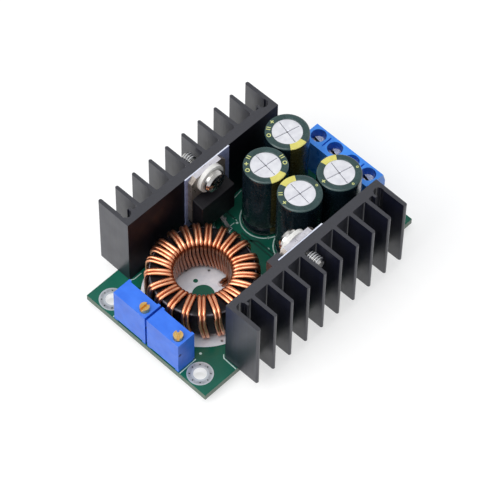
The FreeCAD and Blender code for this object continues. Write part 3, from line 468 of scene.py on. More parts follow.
def make_ring_finish():
    """Tinned rings of the mounting holes: duller round the small vias, bright at the rim and in the bore."""
    made = Finish("tinned_ring")
    away = made.away_from(HOLE_X*MM, HOLE_Y*MM, mirrored=True)
    off_band = made.math("ABSOLUTE", made.math("SUBTRACT", away, VIA_CIRCLE*MM))
    band = made.spread(off_band, 1.0, 0.0, 0.25*MM, 0.5*MM)
    stained = made.math("MULTIPLY", band, made.spread(made.noise(900.0, 4.0), 0.1, 0.8))
    face = made.mix(stained, srgb(194, 200, 206), srgb(124, 128, 136))
    top = made.facing("Z")
    made.colour(made.mix(top, srgb(250, 250, 252), face))
    made.link(made.spread(top, 1.0, 0.6, 0.0, 1.0), made.shader.inputs["Metallic"])
    made.link(made.spread(top, 0.12, 0.42, 0.0, 1.0), made.shader.inputs["Roughness"])
    made.bump(made.noise(900.0, 2.0), 0.00002)
    return made.material


def make_sheet_with_lit_top_edge(name, faces, edges, rough, depth, metallic=0.0):
    """An upright sheet part, with one pair of shades on its sides and a lighter pair painted on its top edge
    as painted light.
    """
    made = Finish(name, metallic=metallic)
    drift = made.spread(made.noise(800.0, 4.0), 0.0, 1.0)
    face, edge = [made.mix(drift, srgb(*dark), srgb(*light)) for dark, light in (faces, edges)]
    # Painted light: the upward-facing top edge gets the lighter shades
    made.colour(made.mix(made.facing("Z"), face, edge))
    made.rough(*rough, 1300.0)
    made.bump(made.noise(3000.0), depth)
    return made.material


def make_finishes():
    """Every material by name."""
    shades = {
        "tin": metal("tin", (196, 201, 210), (228, 231, 238), (0.35, 0.5), 0.00002, 0.55),
        "tinned_copper": metal("tinned_copper", (172, 168, 168), (208, 205, 206), (0.25, 0.42), 0.00001),
        "zinc": metal("zinc", (206, 208, 212), (236, 237, 240), (0.3, 0.42), 0.000006, 0.6),
        "plated_steel": metal("plated_steel", (160, 160, 162), (208, 206, 202), (0.14, 0.26), 0.000006),
        "bare_aluminium": metal("bare_aluminium", (222, 223, 230), (238, 239, 244), (0.5, 0.6),
                                0.000006),
        "brass": metal("brass", (234, 182, 100), (250, 212, 136), (0.22, 0.34), 0.000006),
        "black_epoxy": matt("black_epoxy", (15, 14, 19), (24, 23, 28), 700, (0.42, 0.52), 0.000015, 5200,
                            ior=1.3),
        "chip_black": matt("chip_black", (22, 22, 24), (36, 36, 39), 900, (0.4, 0.5), 0.00001, 7000),
        "cream_nylon": matt("cream_nylon", (208, 207, 204), (228, 227, 224), 600, (0.35, 0.45),
                            0.000008, 2600),
        "trimmer_blue": matt("trimmer_blue", (42, 106, 224), (56, 122, 240), 350, (0.3, 0.42),
                             0.000006, 4200),
        "resin": matt("resin", (196, 184, 150), (214, 204, 172), 900, (0.4, 0.6), 0.00002, 2600),
        "ceramic": matt("ceramic", (150, 128, 98), (176, 152, 120), 900, (0.4, 0.5), 0.000008, 3600),
        "black_rubber": matt("black_rubber", (18, 18, 18), (30, 30, 30), 900, (0.5, 0.65), 0.00001, 3600),
        "silk_white": matt("silk_white", (176, 204, 198), (210, 228, 224), 1800, (0.45, 0.6),
                           0.000006, 5000),
        "masked_track": matt("masked_track", (0, 56, 46), (2, 70, 58), 300, (0.28, 0.4), 0.000006, 1800),
        "mark_yellow": matt("mark_yellow", (186, 192, 116), (208, 212, 146), 1500, (0.35, 0.5),
                            0.000005, 4000),
        "score_shade_grey": matt("score_shade_grey", (84, 84, 92), (112, 112, 120), 900, (0.5, 0.6), 0.000004, 3600),
        # Painted shade: a near-black fill for via holes and screw thread roots
        "painted_shade_dark": matt("painted_shade_dark", (10, 16, 14), (22, 30, 26), 900, (0.4, 0.6), 0.00001, 3000),
        "dimple_shade_blue": matt("dimple_shade_blue", (14, 40, 110), (20, 52, 130), 900, (0.4, 0.5), 0.000006, 3000),
        "resistor_end": metal("resistor_end", (178, 178, 182), (212, 212, 216), (0.3, 0.45), 0.00001),
        "resistor_white": matt("resistor_white", (196, 194, 186), (214, 212, 206), 900, (0.4, 0.5),
                               0.000006, 4000),
    }
    shades["black_anodised"] = make_anodised()
    shades["board_mask"] = make_mask()
    shades["core_coating"] = make_core_finish()
    shades["enamelled_copper"] = make_copper()
    shades["green_sleeve"] = make_sleeve_finish()
    shades["terminal_blue"] = make_terminal_finish()
    shades["clamp_screw"] = make_clamp_screw_finish()
    shades["tinned_ring"] = make_ring_finish()
    shades["tinned_land"] = metal("tinned_land", (222, 228, 238), (240, 245, 252), (0.4, 0.55), 0.00002, 0.2)
    # Painted light on the top edges of the pads and the package tabs
    shades["pale_silicone"] = make_sheet_with_lit_top_edge("pale_silicone", ((124, 133, 172), (152, 161, 198)),
                                                ((206, 212, 232), (228, 232, 244)), (0.35, 0.5), 0.000008)
    shades["package_tab"] = make_sheet_with_lit_top_edge("package_tab", ((124, 116, 110), (152, 144, 138)),
                                              ((200, 198, 206), (224, 222, 230)), (0.25, 0.4), 0.00001, 0.6)
    return shades


# Mesh helpers, in millimetres

def add_piece(name, mesh, finishes, replaced=(), place=None):
    """A piece of the module from a mesh in metres."""
    piece = new_object(name, mesh)
    for finish in finishes:
        mesh.materials.append(finish)
    if place is not None:
        piece.matrix_world = place
    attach(piece, "module")
    if replaced:
        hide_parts(*replaced)


def mesh_from(name, points, faces, smooth=True):
    """A mesh from points in millimetres."""
    mesh = bpy.data.meshes.new(name)
    mesh.from_pydata([Vector(point)*MM for point in points], [], faces)
    if smooth:
        mesh.shade_smooth()
    else:
        mesh.shade_flat()
    return mesh


class Shape:
    """Points in millimetres and faces, gathered from several simple forms."""

    def __init__(self):
        self.points = []
        self.faces = []
        self.slots = []

    def add(self, points, faces, slot=0):
        """One more form, with its material slot."""
        start = len(self.points)
        self.points += [Vector(point) for point in points]
        self.faces += [[start + index for index in face] for face in faces]
        self.slots += [slot]*len(faces)

    def block(self, low, high, edge, slot=0):
        """A block with its edges rounded off by that width."""
        made = bmesh.new()
        bmesh.ops.create_cube(made, size=1.0)
        size = Vector(high) - Vector(low)
        middle = (Vector(high) + Vector(low))/2
        for vertex in made.verts:
            vertex.co = Vector(a*b for a, b in zip(vertex.co, size)) + middle
        bmesh.ops.bevel(made, geom=made.edges[:], offset=edge, segments=2, affect="EDGES", profile=0.6)
        made.verts.index_update()
        self.add([vertex.co.copy() for vertex in made.verts],
                 [[vertex.index for vertex in face.verts] for face in made.faces], slot)
        made.free()

    def ring(self, x, y, z, outer, inner, thickness, sides):
        """A flat washer lying at a height."""
        points, faces = [], []
        base = Vector((x, y, z))
        for index in range(sides):
            turn = 2*math.pi*index/sides
            spot = Vector((math.cos(turn), math.sin(turn), 0))
            points += [base + spot*outer, base + spot*outer + UP*thickness,
                       base + spot*inner + UP*thickness, base + spot*inner]
            near, far = 4*index, 4*((index + 1) % sides)
            for corner in range(4):
                after = (corner + 1) % 4
                faces.append([near + corner, far + corner, far + after, near + after])
        self.add(points, faces)

    def disc(self, x, y, z, radius, thickness, sides, slot=0):
        """A flat round plate."""
        points = []
        for level in (z, z + thickness):
            for index in range(sides):
                turn = 2*math.pi*index/sides
                points.append((x + radius*math.cos(turn), y + radius*math.sin(turn), level))
        faces = [list(range(sides))[::-1], [sides + index for index in range(sides)]]
        for index in range(sides):
            after = (index + 1) % sides
            faces.append([index, after, sides + after, sides + index])
        self.add(points, faces, slot)

    def strip(self, route, width, z, thickness):
        """A flat track along a route of (x, y) points."""
        spots = [Vector((x, y, z)) for x, y in route]
        points = []
        for index, spot in enumerate(spots):
            before = (spot - spots[index - 1]).normalized() if index else None
            after = (spots[index + 1] - spot).normalized() if index + 1 < len(spots) else None
            run = ((before or after) + (after or before)).normalized()
            side = UP.cross(run)
            share = side.dot(UP.cross(before or after))
            side = side*(width/2/max(share, 0.3))
            points += [spot + side, spot + side + UP*thickness, spot - side + UP*thickness, spot - side]
        faces = [[0, 1, 2, 3]]
        for index in range(len(spots) - 1):
            near, far = 4*index, 4*index + 4
            for corner in range(4):
                following = (corner + 1) % 4
                faces.append([near + corner, far + corner, far + following, near + following])
        last = 4*(len(spots) - 1)
        faces.append([last + 3, last + 2, last + 1, last])
        self.add(points, faces)

    def mesh(self, name):
        """A flat-shaded mesh, with each face in the material slot of its form."""
        made = mesh_from(name, self.points, self.faces, smooth=False)
        for polygon, slot in zip(made.polygons, self.slots):
            polygon.material_index = slot
        return made


def turned_mesh(name, profile, sides=96):
    """A surface of revolution about the piece's own Z from (radius, height) points."""
    points, faces = [], []
    for index in range(sides):
        turn = 2*math.pi*index/sides
        points += [(radius*math.cos(turn), radius*math.sin(turn), height) for radius, height in profile]
    count = len(profile)
    for index in range(sides):
        near, far = count*index, count*((index + 1) % sides)
        for step in range(count):
            after = (step + 1) % count
            faces.append([near + step, far + step, far + after, near + after])
    return mesh_from(name, points, faces)


def smoothed(path, rounds=2):
    """A path with its corners cut a few times over."""
    for _ in range(rounds):
        cut = [path[0]]
        for start, end in zip(path, path[1:]):
            cut += [start.lerp(end, 0.25), start.lerp(end, 0.75)]
        path = cut + [path[-1]]
    return path


def tube_mesh(name, path, radius, sides=14):
    """A round wire along a path in millimetres."""
    points, faces = [], []
    run = (path[1] - path[0]).normalized()
    side = run.orthogonal().normalized()
    for index, spot in enumerate(path):
        ahead = path[min(index + 1, len(path) - 1)] - path[max(index - 1, 0)]
        turn = run.rotation_difference(ahead.normalized())
        side = turn @ side
        run = ahead.normalized()
        side = (side - run*side.dot(run)).normalized()
        other = run.cross(side)
        for step in range(sides):
            angle = 2*math.pi*step/sides
            points.append(spot + (side*math.cos(angle) + other*math.sin(angle))*radius)
    for index in range(len(path) - 1):
        for step in range(sides):
            after = (step + 1) % sides
            near, far = sides*index, sides*(index + 1)
            faces.append([near + step, near + after, far + after, far + step])
    faces.append(list(range(sides))[::-1])
    faces.append([sides*(len(path) - 1) + step for step in range(sides)])
    return mesh_from(name, points, faces)


# Inductor winding: reach of the wires from the coil's axis, and the azimuth of each pair on the outside

COIL_OUTER = 12.23
COIL_INNER = 6.57
COIL_BOTTOM = 3.92
WIRE_RADIUS = 0.42
WIRE_CORNER = 0.8
PAIR_OFFSET = 0.455
LEAD_OUT = 337
LEAD_IN = -15
PAIR_AZIMUTHS = [331.3, 318.3, 305.4, 290.4, 273.1, 260.6, 240.5, 224.3, 207.0, 189.7, 173.4, 158.6,
                 139.2, 121.8, 107.8, 96.6, 80.0, 65.5, 51.7, 38.1, 21.0, 6.1, -9.0]

# Bends of a wire over the top of the core: (reach from the axis, height)
TURN_OVER = [(12.23, 9.6), (12.24, 10.9), (12.2, 12.0), (11.72, 12.86), (10.6, 13.1), (9.4, 13.14),
             (8.2, 13.06), (7.1, 12.84), (6.58, 12.0), (6.56, 10.9), (6.57, 9.6)]


def coil_point(radius, angle, height, offset):
    """A point of one wire, set sideways from the middle of its pair."""
    turn = math.radians(angle)
    along = Vector((math.cos(turn), math.sin(turn), 0))
    return COIL + along*radius + UP.cross(along)*offset + UP*height


def coil_route(offset):
    """Bends of one wire, round the core from its outer lead to its inner lead."""
    count = len(PAIR_AZIMUTHS)
    step = 360/count
    first = sum(angle + step*index for index, angle in enumerate(PAIR_AZIMUTHS))/count
    outside = COIL_OUTER - WIRE_CORNER
    inside = COIL_INNER + WIRE_CORNER
    low = COIL_BOTTOM + WIRE_CORNER
    route = [coil_point(COIL_OUTER, LEAD_OUT, height, offset) for height in (0.2, COIL_BOTTOM)]
    for index, angle in enumerate(PAIR_AZIMUTHS):
        inner = first - step*index
        outer = 1.1*angle - 0.1*inner
        if index:
            route.append(coil_point(outside, outer + 4, COIL_BOTTOM, offset))
            route.append(coil_point(COIL_OUTER, outer + 4, low, offset))
        start = coil_point(COIL_OUTER, outer, 0, offset)
        end = coil_point(COIL_INNER, inner, 0, offset)
        for radius, height in TURN_OVER:
            share = (COIL_OUTER - radius)/(COIL_OUTER - COIL_INNER)
            route.append(start.lerp(end, share) + UP*height)
        route.append(coil_point(COIL_INNER, inner - 9, low, offset))
        if index < count - 1:
            route.append(coil_point(inside, inner - 9, COIL_BOTTOM, offset))
    within = COIL_INNER - 1.6
    route += [coil_point(within, LEAD_IN, height, offset) for height in (COIL_BOTTOM, 0.2)]
    return route


def make_winding(finishes):
    """The pair of round wires on the core."""
    for number, offset in ((1, PAIR_OFFSET), (2, -PAIR_OFFSET)):
        path = smoothed(coil_route(offset))
        mesh = tube_mesh("winding_%d" % number, path, WIRE_RADIUS)
        add_piece("winding_%d" % number, mesh, [finishes["enamelled_copper"]],
                  ["inductor_wire_%d" % number])


# Capacitors: the sleeve with its rolled groove, rounded shoulder and turned-over edge

SLEEVE_RADIUS = 5.0
SLEEVE_HEIGHT = 20.13
SLEEVE_FOOT = 0.5
GROOVE_START = 1.9
GROOVE_WIDTH = 1.4
GROOVE_DEPTH = 0.35
SHOULDER = 0.42
SCORE_REACH = 3.15
SCORE_WIDTH = 0.13
SCORE_HUB = 0.22
MARK_REACH = 4.2
MARK_STROKE = 0.22


def sleeve_profile():
    """Section of the shrunk sleeve, from its foot outside over its top to its foot inside."""
    top = BOARD_TOP + SLEEVE_HEIGHT
    foot = BOARD_TOP + SLEEVE_FOOT
    wall = SLEEVE_RADIUS
    outside = [(wall - 0.08, foot), (wall - 0.015, foot + 0.12), (wall, foot + 0.5)]
    for step in range(9):
        share = step/8
        dip = GROOVE_DEPTH*0.5*(1 - math.cos(2*math.pi*share))
        outside.append((wall - dip, BOARD_TOP + GROOVE_START + GROOVE_WIDTH*share))
    outside += [(wall, BOARD_TOP + 6), (wall, BOARD_TOP + 12), (wall, BOARD_TOP + 18), (wall, top - 0.45)]
    bend = wall - SHOULDER
    for step in range(1, 8):
        turn = math.radians(90*step/8)
        outside.append((bend + SHOULDER*math.cos(turn), top - SHOULDER + SHOULDER*math.sin(turn)))
    outside += [(bend, top), (3.9, top - 0.01), (3.47, top - 0.012), (3.41, top - 0.04), (3.4, top - 0.11)]
    inside = [(4.2, top - 0.11), (4.85, BOARD_TOP + 19.2), (4.85, foot)]
    return outside + inside


# Printed signs of each sleeve: (angle from the stripe, kind)
MARKS = [[(-107, "ring"), (-133, "bars"), (-160, "cross")],
         [(60, "ring"), (84, "bars"), (-108, "ring"), (-132, "cross"), (-157, "bars")],
         [(56, "bars"), (90, "cross"), (-97, "dot")],
         [(93, "cross"), (-101, "dot"), (-168, "dot")]]


def add_marks(shape, marks):
    """Generic signs printed on the turned-over edge, at angles from the stripe."""
    z = BOARD_TOP + SLEEVE_HEIGHT - 0.008
    for angle, kind in marks:
        turn = math.radians(angle)
        out = Vector((math.cos(turn), math.sin(turn)))
        along = Vector((-out.y, out.x))
        middle = out*MARK_REACH
        if kind == "ring":
            shape.ring(middle.x, middle.y, z, 0.52, 0.3, SILK, sides=20)
        if kind == "dot":
            shape.ring(middle.x, middle.y, z, 0.3, 0.14, SILK, sides=14)
        if kind == "bars":
            for step in (-0.28, 0.28):
                start = middle + along*step
                shape.strip([start - out*0.48, start + out*0.48], MARK_STROKE, z, SILK)
        if kind == "cross":
            shape.strip([middle - out*0.45, middle + out*0.45], MARK_STROKE, z, SILK)
            shape.strip([middle - along*0.45, middle + along*0.45], MARK_STROKE, z + SILK/4, SILK)


def make_capacitors(finishes):
    """Sleeves with their stripes and marks, and strips of painted shade along the scored cross on each can.
    """
    for number, (x, y, turn) in enumerate(CAPACITORS, 1):
        place = Matrix.Translation((x*MM, y*MM, 0)) @ Matrix.Rotation(math.radians(turn), 4, "Z")
        mesh = turned_mesh("capacitor_%d_shrink_sleeve" % number, sleeve_profile())
        add_piece("capacitor_%d_shrink_sleeve" % number, mesh, [finishes["green_sleeve"]],
                  ["capacitor_%d_sleeve" % number], place=place)
        # Painted shade: grey strips and a small disc lie along the scores of each can
        score_shades = Shape()
        face = BOARD_TOP + CAN_FACE
        score_shades.strip([(-SCORE_REACH, 0), (SCORE_REACH, 0)], SCORE_WIDTH, face, SILK)
        score_shades.strip([(0, -SCORE_REACH), (0, SCORE_REACH)], SCORE_WIDTH, face + SILK/4, SILK)
        score_shades.disc(0, 0, face, SCORE_HUB, SILK*1.5, sides=16)
        marks = Shape()
        add_marks(marks, MARKS[number - 1])
        for kind, shape, finish, slot in (("score_shades", score_shades, "score_shade_grey", "bare_aluminium"),
                                          ("marks", marks, "mark_yellow", "green_sleeve")):
            name = "capacitor_%d_%s" % (number, kind)
            add_piece(name, shape.mesh(name), [finishes[finish]], place=place)


# Parts under the board

RESISTORS = 6
CERAMICS = 3
CHIP_LENGTH = 2.0
CHIP_STEP = 2.9
LEAD_PITCH = 1.27
LEAD_WIDTH = 0.42
LEAD_HALF = 0.08
AMPLIFIER_LEAD = 1.05
REGULATOR_LEAD = 1.0
REGULATOR_PITCH = 1.5
TAB_REACH = 1.2
TAB_WIDTH = 1.6


def row_of_chips(node, count):
    """Middles of the chips that stand in a row in one node."""
    middle = middle_mm(node)
    return [Vector((middle.x + CHIP_STEP*(index - (count - 1)/2), middle.y)) for index in range(count)]


def add_gull_lead(shape, x, y, way, reach, width, height):
    """A thin lead that leaves a body halfway up, bends down and lies on the board."""
    knee = BOARD_BOTTOM - height/2
    flat = BOARD_BOTTOM - 2*LEAD_HALF
    sole = flat + 0.15
    far = y + way*reach
    bend = y + way*reach*0.42
    half = width/2
    for first, second, low, high in ((y, bend, knee - LEAD_HALF, knee + LEAD_HALF), (bend, far, flat, sole),
                                     (bend - LEAD_HALF, bend + LEAD_HALF, knee - LEAD_HALF, sole)):
        shape.block((x - half, min(first, second), low), (x + half, max(first, second), high), 0.03, slot=1)


def make_leaded_chips(finishes):
    """The eight-lead amplifier with a dot at its first lead, and the small regulator with its wide tab."""
    skins = [finishes["chip_black"], finishes["tinned_copper"]]
    amplifier = Shape()
    low, high = box_mm("op_amp")
    near, far = low.y + AMPLIFIER_LEAD, high.y - AMPLIFIER_LEAD
    amplifier.block((low.x, near, low.z), (high.x, far, high.z - 0.12), 0.14)
    amplifier.disc(low.x + 0.65, near + 0.65, low.z - 0.002, 0.3, 0.01, sides=20, slot=1)
    for index in range(4):
        x = (low.x + high.x)/2 + LEAD_PITCH*(index - 1.5)
        for y, way in ((far, 1), (near, -1)):
            add_gull_lead(amplifier, x, y, way, AMPLIFIER_LEAD, LEAD_WIDTH, high.z - low.z)
    add_piece("amplifier_chip", amplifier.mesh("amplifier_chip"), skins, ["op_amp"])

    regulator = Shape()
    low, high = box_mm("small_regulator")
    near, far = low.y + REGULATOR_LEAD, high.y - TAB_REACH
    x = (low.x + high.x)/2
    regulator.block((low.x, near, low.z), (high.x, far, high.z - 0.1), 0.14)
    add_gull_lead(regulator, x, far, 1, TAB_REACH, TAB_WIDTH, high.z - low.z)
    for step in (-1, 0, 1):
        add_gull_lead(regulator, x + REGULATOR_PITCH*step, near, -1, REGULATOR_LEAD, LEAD_WIDTH,
                      high.z - low.z)
    add_piece("supply_regulator", regulator.mesh("supply_regulator"), skins,
              ["small_regulator"])


def add_chip(shape, spot, size, cap, turned):
    """A chip with a metal cap at each end and a coated middle, lengthwise along X, or along Y if turned."""
    def place(low, high, edge, slot):
        if turned:
            low, high = ([low[1], low[0], low[2]], [high[1], high[0], high[2]])
        corner = Vector((spot.x, spot.y, BOARD_BOTTOM))
        shape.block(corner + Vector(low), corner + Vector(high), edge, slot)
    half, side, height = size[0]/2, size[1]/2, size[2]
    place((-half + cap*0.5, -side + 0.03, -height + 0.03), (half - cap*0.5, side - 0.03, -0.02), 0.03, 2)
    place((-half + cap, -side + 0.08, -height + 0.005), (half - cap, side - 0.08, -height + 0.08), 0.02, 0)
    for way in (-1, 1):
        ends = sorted((way*half, way*(half - cap)))
        place((ends[0], -side, -height), (ends[1], side, -0.01), 0.05, 1)


def make_chips(finishes):
    """Chip resistors and ceramic capacitors in rows, and the current-sensing resistor across the board."""
    resistor = ["chip_black", "resistor_end", "resistor_white"]
    ceramic = ["ceramic", "resistor_end", "ceramic"]
    for name, node, count, cap, skins, turned in (
            ("resistor_chips", "chip_resistors", RESISTORS, 0.38, resistor, False),
            ("sense_resistor_chip", "sense_resistor", 1, 0.8, resistor, True),
            ("ceramic_chips", "chip_capacitors", CERAMICS, 0.42, ceramic, False)):
        shape = Shape()
        low, high = box_mm(node)
        width, depth, height = high - low
        size = (depth, width, height) if turned else (CHIP_LENGTH, depth, height)
        for spot in row_of_chips(node, count):
            add_chip(shape, spot, size, cap, turned)
        add_piece(name, shape.mesh(name), [finishes[skin] for skin in skins], [node])


# Board print and copper: widths of lines, then radii and depths of vias

SILK_CIRCLE = (5.5, 5.24)
SILK_LINE = 0.2
SILK_OUTLINE = 0.15
SILK_DOT = 0.3
TRACK_WIDTH = 0.45
UNDER_TRACK_WIDTH = 0.4
LAND_RADIUS = 14
VIA_RADIUS = 0.42
VIA_HOLE = 0.2
VIA_COLLAR = 0.04
VIA_FLOOR = 0.01
RING_VIA = 0.17
RING_VIA_FLOOR = 0.012


def make_silk(finishes):
    """White outlines printed on both sides of the board."""
    shape = Shape()
    z = BOARD_TOP + GAP
    for x, y, _ in CAPACITORS:
        shape.ring(x, y, z, *SILK_CIRCLE, SILK, sides=96)
    # Short bars beside parts and at the board's edge, then the dots
    lines = [[(-32.4, -10.35), (-27.4, -10.25)], [(-32.35, 10.1), (-31.6, 10.1)],
             [(-23.15, 14.4), (-22.22, 13.93), (-20.09, 13.93)], [(8.35, 13.7), (11.3, 14.1)],
             [(-22.3, -13.6), (-22.98, -14.35), (-23.1, -18.1)], [(4.75, 11.5), (4.72, 9.0)],
             [(2.6, 9.0), (3.9, 9.0)], [(1.4, 8.1), (1.4, 9.0)]]
    for line in lines:
        shape.strip(line, SILK_LINE, z, SILK)
    for x, y in ((-25.67, -9.95), (6.3, 0.82), (4.17, -1.26), (4.32, 8.54), (4.78, 10.0)):
        shape.disc(x, y, z, SILK_DOT, SILK, sides=18)

    z = BOARD_BOTTOM - GAP - SILK
    outlines = [(middle_mm("op_amp"), 6.2, 6.6), (middle_mm("small_regulator"), 5.6, 5.6),
                (middle_mm("sense_resistor"), 4.4, 7.2)]
    chips = row_of_chips("chip_resistors", RESISTORS) + row_of_chips("chip_capacitors", CERAMICS)
    outlines += [(spot, 2.6, 1.8) for spot in chips]
    for spot, length, width in outlines:
        left, right = spot.x - length/2, spot.x + length/2
        near, far = spot.y - width/2, spot.y + width/2
        corners = [(left, near), (right, near), (right, far), (left, far), (left, near)]
        shape.strip(corners, SILK_OUTLINE, z, SILK)
    add_piece("board_silk_print", shape.mesh("board_silk_print"), [finishes["silk_white"]])


def make_tracks(finishes):
    """Copper tracks under the mask, which show as slightly raised darker lines."""
    shape = Shape()
    z = BOARD_TOP + GAP/2
    routes = [[(2.2, 8.5), (2.2, 4.0), (4.0, 1.8), (4.0, -3.6)], [(4.8, 9.4), (4.8, 12.6)],
              [(-26.9, 12.2), (-24.0, 12.2), (-22.0, 10.2)], [(24.9, 9.0), (24.9, -9.0)],
              [(13.9, 1.2), (13.9, -1.2), (16.0, -2.0)], [(25.6, 13.0), (23.0, 15.6)],
              [(3.1, 6.0), (3.1, -7.5), (1.5, -9.1)]]
    for route in routes:
        shape.strip(route, TRACK_WIDTH, z, TRACK)

    z = BOARD_BOTTOM - GAP/2 - TRACK
    routes = [[(-20.3, 7.9), (-20.3, 9.4), (-19.5, 10.2)], [(-19.0, 7.9), (-19.0, 8.6), (-16.6, 9.4)],
              [(-17.8, 7.9), (-14.6, 9.2), (-13.7, 10.2)], [(-16.5, 7.9), (-12.4, 8.6), (-10.8, 10.2)],
              [(-20.3, 1.5), (-24.0, -1.0), (-28.0, -2.4)], [(-19.0, 1.5), (-19.0, -1.0), (-18.4, -3.6)],
              [(-17.8, 1.5), (-12.0, 0.4), (-2.0, 0.4), (6.0, 2.0), (19.6, 2.6)],
              [(-16.5, 1.5), (-11.0, -0.6), (-2.0, -0.6), (6.0, -2.0), (19.6, -2.6)],
              [(-19.9, -8.7), (-19.9, -9.6), (-22.4, -10.3)], [(-16.9, -8.7), (-16.9, -9.6)],
              [(-29.9, 7.6), (-26.0, 9.0), (-23.6, 10.2)], [(-29.9, -7.9), (-26.0, -9.4), (-23.6, -10.3)],
              [(-6.6, 10.2), (-4.6, 9.2)], [(-7.0, 11.0), (-6.0, 14.0), (6.0, 15.0), (22.0, 15.0)]]
    for route in routes:
        shape.strip(route, UNDER_TRACK_WIDTH, z, TRACK)
    add_piece("board_tracks", shape.mesh("board_tracks"), [finishes["masked_track"]])


def make_tinned_areas(finishes):
    """Bare tinned strips of the heavy current paths under the board, and small vias on both sides."""
    shape = Shape()
    z = BOARD_BOTTOM - GAP - TIN
    for route, width in (([(27.0, -7.5), (19.2, -9.6), (12.0, -8.6), (8.6, -5.3)], 2.6),
                         ([(27.0, 7.5), (19.2, 10.4), (12.0, 8.4), (9.0, 5.2)], 2.6),
                         ([(3.2, 9.2), (-1.0, 13.2), (-6.0, 13.6), (-14.0, 14.0)], 2.2),
                         ([(2.8, -11.2), (-1.0, -13.6), (-8.0, -13.8), (-16.0, -13.4)], 2.2)):
        shape.strip(route, width, z, TIN)
    vias = [(-12.74, 7.52), (-9.15, 3.92), (-9.19, 5.95), (-20.2, -11.0), (6.3, 3.4), (2.2, 8.5),
            (4.8, 12.6), (-22.0, 10.2), (4.0, -3.6), (23.0, 15.6), (1.5, -9.1)]
    for x, y in vias:
        on_land = (Vector((x, y)) - COIL.xy).length < LAND_RADIUS
        top = BOARD_TOP + GAP + (LAND if on_land else 0)
        under = BOARD_BOTTOM - GAP
        # Painted shade: a dark disc fills each via's hole
        for collar_z, floor_z in ((top, top), (under - VIA_COLLAR, under - VIA_FLOOR)):
            shape.ring(x, y, collar_z, VIA_RADIUS, VIA_HOLE, VIA_COLLAR, sides=20)
            shape.disc(x, y, floor_z, VIA_HOLE, VIA_FLOOR, sides=16, slot=1)
    mesh = shape.mesh("tinned_areas")
    add_piece("tinned_areas", mesh, [finishes["tin"], finishes["painted_shade_dark"]])


def make_ring_vias(finishes):
    """The small plated holes round each mounting hole, drawn as dark discs of painted shade."""
    shape = Shape()
    for x in (-HOLE_X, HOLE_X):
        for y in (-HOLE_Y, HOLE_Y):
            for index in range(8):
                turn = math.radians(45*index)
                for z in (BOARD_TOP + LAND, BOARD_BOTTOM - LAND - RING_VIA_FLOOR):
                    shape.disc(x + VIA_CIRCLE*math.cos(turn), y + VIA_CIRCLE*math.sin(turn), z,
                               RING_VIA, RING_VIA_FLOOR, sides=14)
    add_piece("mounting_ring_vias", shape.mesh("mounting_ring_vias"), [finishes["painted_shade_dark"]])


# Screw threads and small marks

THREAD_ROOT = 1.4
THREAD_CREST = 1.62
THREAD_PITCH = 0.6
THREAD_END = 20.0
THREAD_STARTS = (17.9, 17.1)
ROOT_TUBE = (1.455, 1.3)
ROOT_TUBE_ENDS = (16.9, 19.95)
DIMPLE_INSET = 0.52
DIMPLE_DROP = 3.88


def thread_mesh(name, root, crest, pitch, start, end, sides=28):
    """A helical ridge about the piece's own Z, fading at both ends."""
    points, faces = [], []
    turns = (end - start)/pitch
    steps = int(turns*sides)
    for index in range(steps + 1):
        turn = 2*math.pi*index/sides
        z = start + (end - start)*index/steps
        fade = min(1.0, index/sides*2, (steps - index)/sides*2)
        for radius, rise in ((root, -0.28), (root + (crest - root)*fade, -0.1),
                             (root + (crest - root)*fade, 0.1), (root, 0.28)):
            points.append((radius*math.cos(turn), radius*math.sin(turn), z + rise*pitch))
    for index in range(steps):
        for step in range(4):
            after = (step + 1) % 4
            near, far = 4*index, 4*index + 4
            faces.append([near + step, far + step, far + after, near + after])
    faces += [[3, 2, 1, 0], [4*steps, 4*steps + 1, 4*steps + 2, 4*steps + 3]]
    return mesh_from(name, points, faces, smooth=False)


def make_threads(finishes):
    """Threads of the two package screws, where they come out between the fins, over a dark tube of painted
    shade at the root.
    """
    height = middle_mm("package_screws").z
    skin, core = ROOT_TUBE
    foot, tip = ROOT_TUBE_ENDS
    for name, tab, way, start in (("rear_screw_thread", "regulator_tab", 1, THREAD_STARTS[0]),
                                  ("front_screw_thread", "rectifier_tab", -1, THREAD_STARTS[1])):
        mesh = thread_mesh(name, THREAD_ROOT, THREAD_CREST, THREAD_PITCH, start, THREAD_END)
        lean = Matrix.Rotation(math.radians(-90*way), 4, "X")
        place = Matrix.Translation((middle_mm(tab).x*MM, 0, height*MM)) @ lean
        add_piece(name, mesh, [finishes["zinc"]], place=place)
        # Painted shade: a dark tube between the thread's turns and by the sink's base
        profile = [(skin, foot), (skin, tip), (core, tip), (core, foot)]
        root = turned_mesh(name + "_root_shade", profile, 28)
        add_piece(name + "_root_shade", root, [finishes["painted_shade_dark"]], place=place)


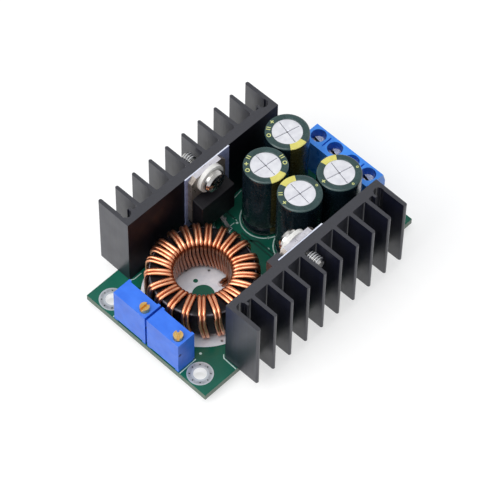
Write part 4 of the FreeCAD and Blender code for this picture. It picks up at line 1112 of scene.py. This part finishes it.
def make_dimples(finishes):
    """The small moulded dimple in one end of each trimmer, in a darker blue as painted shade."""
    profile = [(0.0, 0.004), (0.26, 0.004), (0.3, 0.03), (0.36, 0.03), (0.4, 0.0), (0.0, 0.0)]
    for number in (1, 2):
        mesh = turned_mesh("trimmer_%d_dimple" % number, profile, sides=28)
        low, high = box_mm("trimmer_%d_housing" % number)
        spot = Vector((low.x + DIMPLE_INSET, low.y, high.z - DIMPLE_DROP))
        place = Matrix.Translation(spot*MM) @ Matrix.Rotation(math.radians(90), 4, "X")
        add_piece("trimmer_%d_dimple" % number, mesh, [finishes["dimple_shade_blue"]], place=place)


def soften(names, width):
    """Small rounded edges on moulded nodes."""
    for name in names:
        node = frame["nodes"][name]
        weld = node.modifiers.new("weld", "WELD")
        weld.merge_threshold = 0.000002
        bevel = node.modifiers.new("edges", "BEVEL")
        bevel.width = width*MM
        bevel.segments = 2
        bevel.limit_method = "ANGLE"
        bevel.angle_limit = math.radians(40)
        bevel.harden_normals = True


def dress_nodes(finishes):
    """Materials of the CAD nodes: their slot's finish, or one of their own."""
    own = {"terminal_screw_%d" % number: "clamp_screw" for number in range(1, 5)}
    own.update({"inductor_land": "tinned_land", "mounting_hole_liners": "tinned_ring",
                "regulator_tab": "package_tab", "rectifier_tab": "package_tab"})
    for part in frame["record"]["subparts"]:
        for slot in frame["nodes"][part["node"]].material_slots:
            slot.material = finishes[own.get(part["node"], part["material_slot"])]


# Putting it together

make_camera()
make_world()
make_floor()
for lamp in LAMPS:
    add_lamp(*lamp)
bpy.context.scene.view_settings.view_transform = "Standard"

finishes = make_finishes()
dress_nodes(finishes)
make_winding(finishes)
make_capacitors(finishes)
make_silk(finishes)
make_tracks(finishes)
make_tinned_areas(finishes)
make_ring_vias(finishes)
make_leaded_chips(finishes)
make_chips(finishes)
make_threads(finishes)
make_dimples(finishes)
soften(["trimmer_1_housing", "trimmer_2_housing", "terminal_housing_1", "terminal_housing_2"], 0.12)
soften(["regulator_case", "rectifier_case"], 0.15)
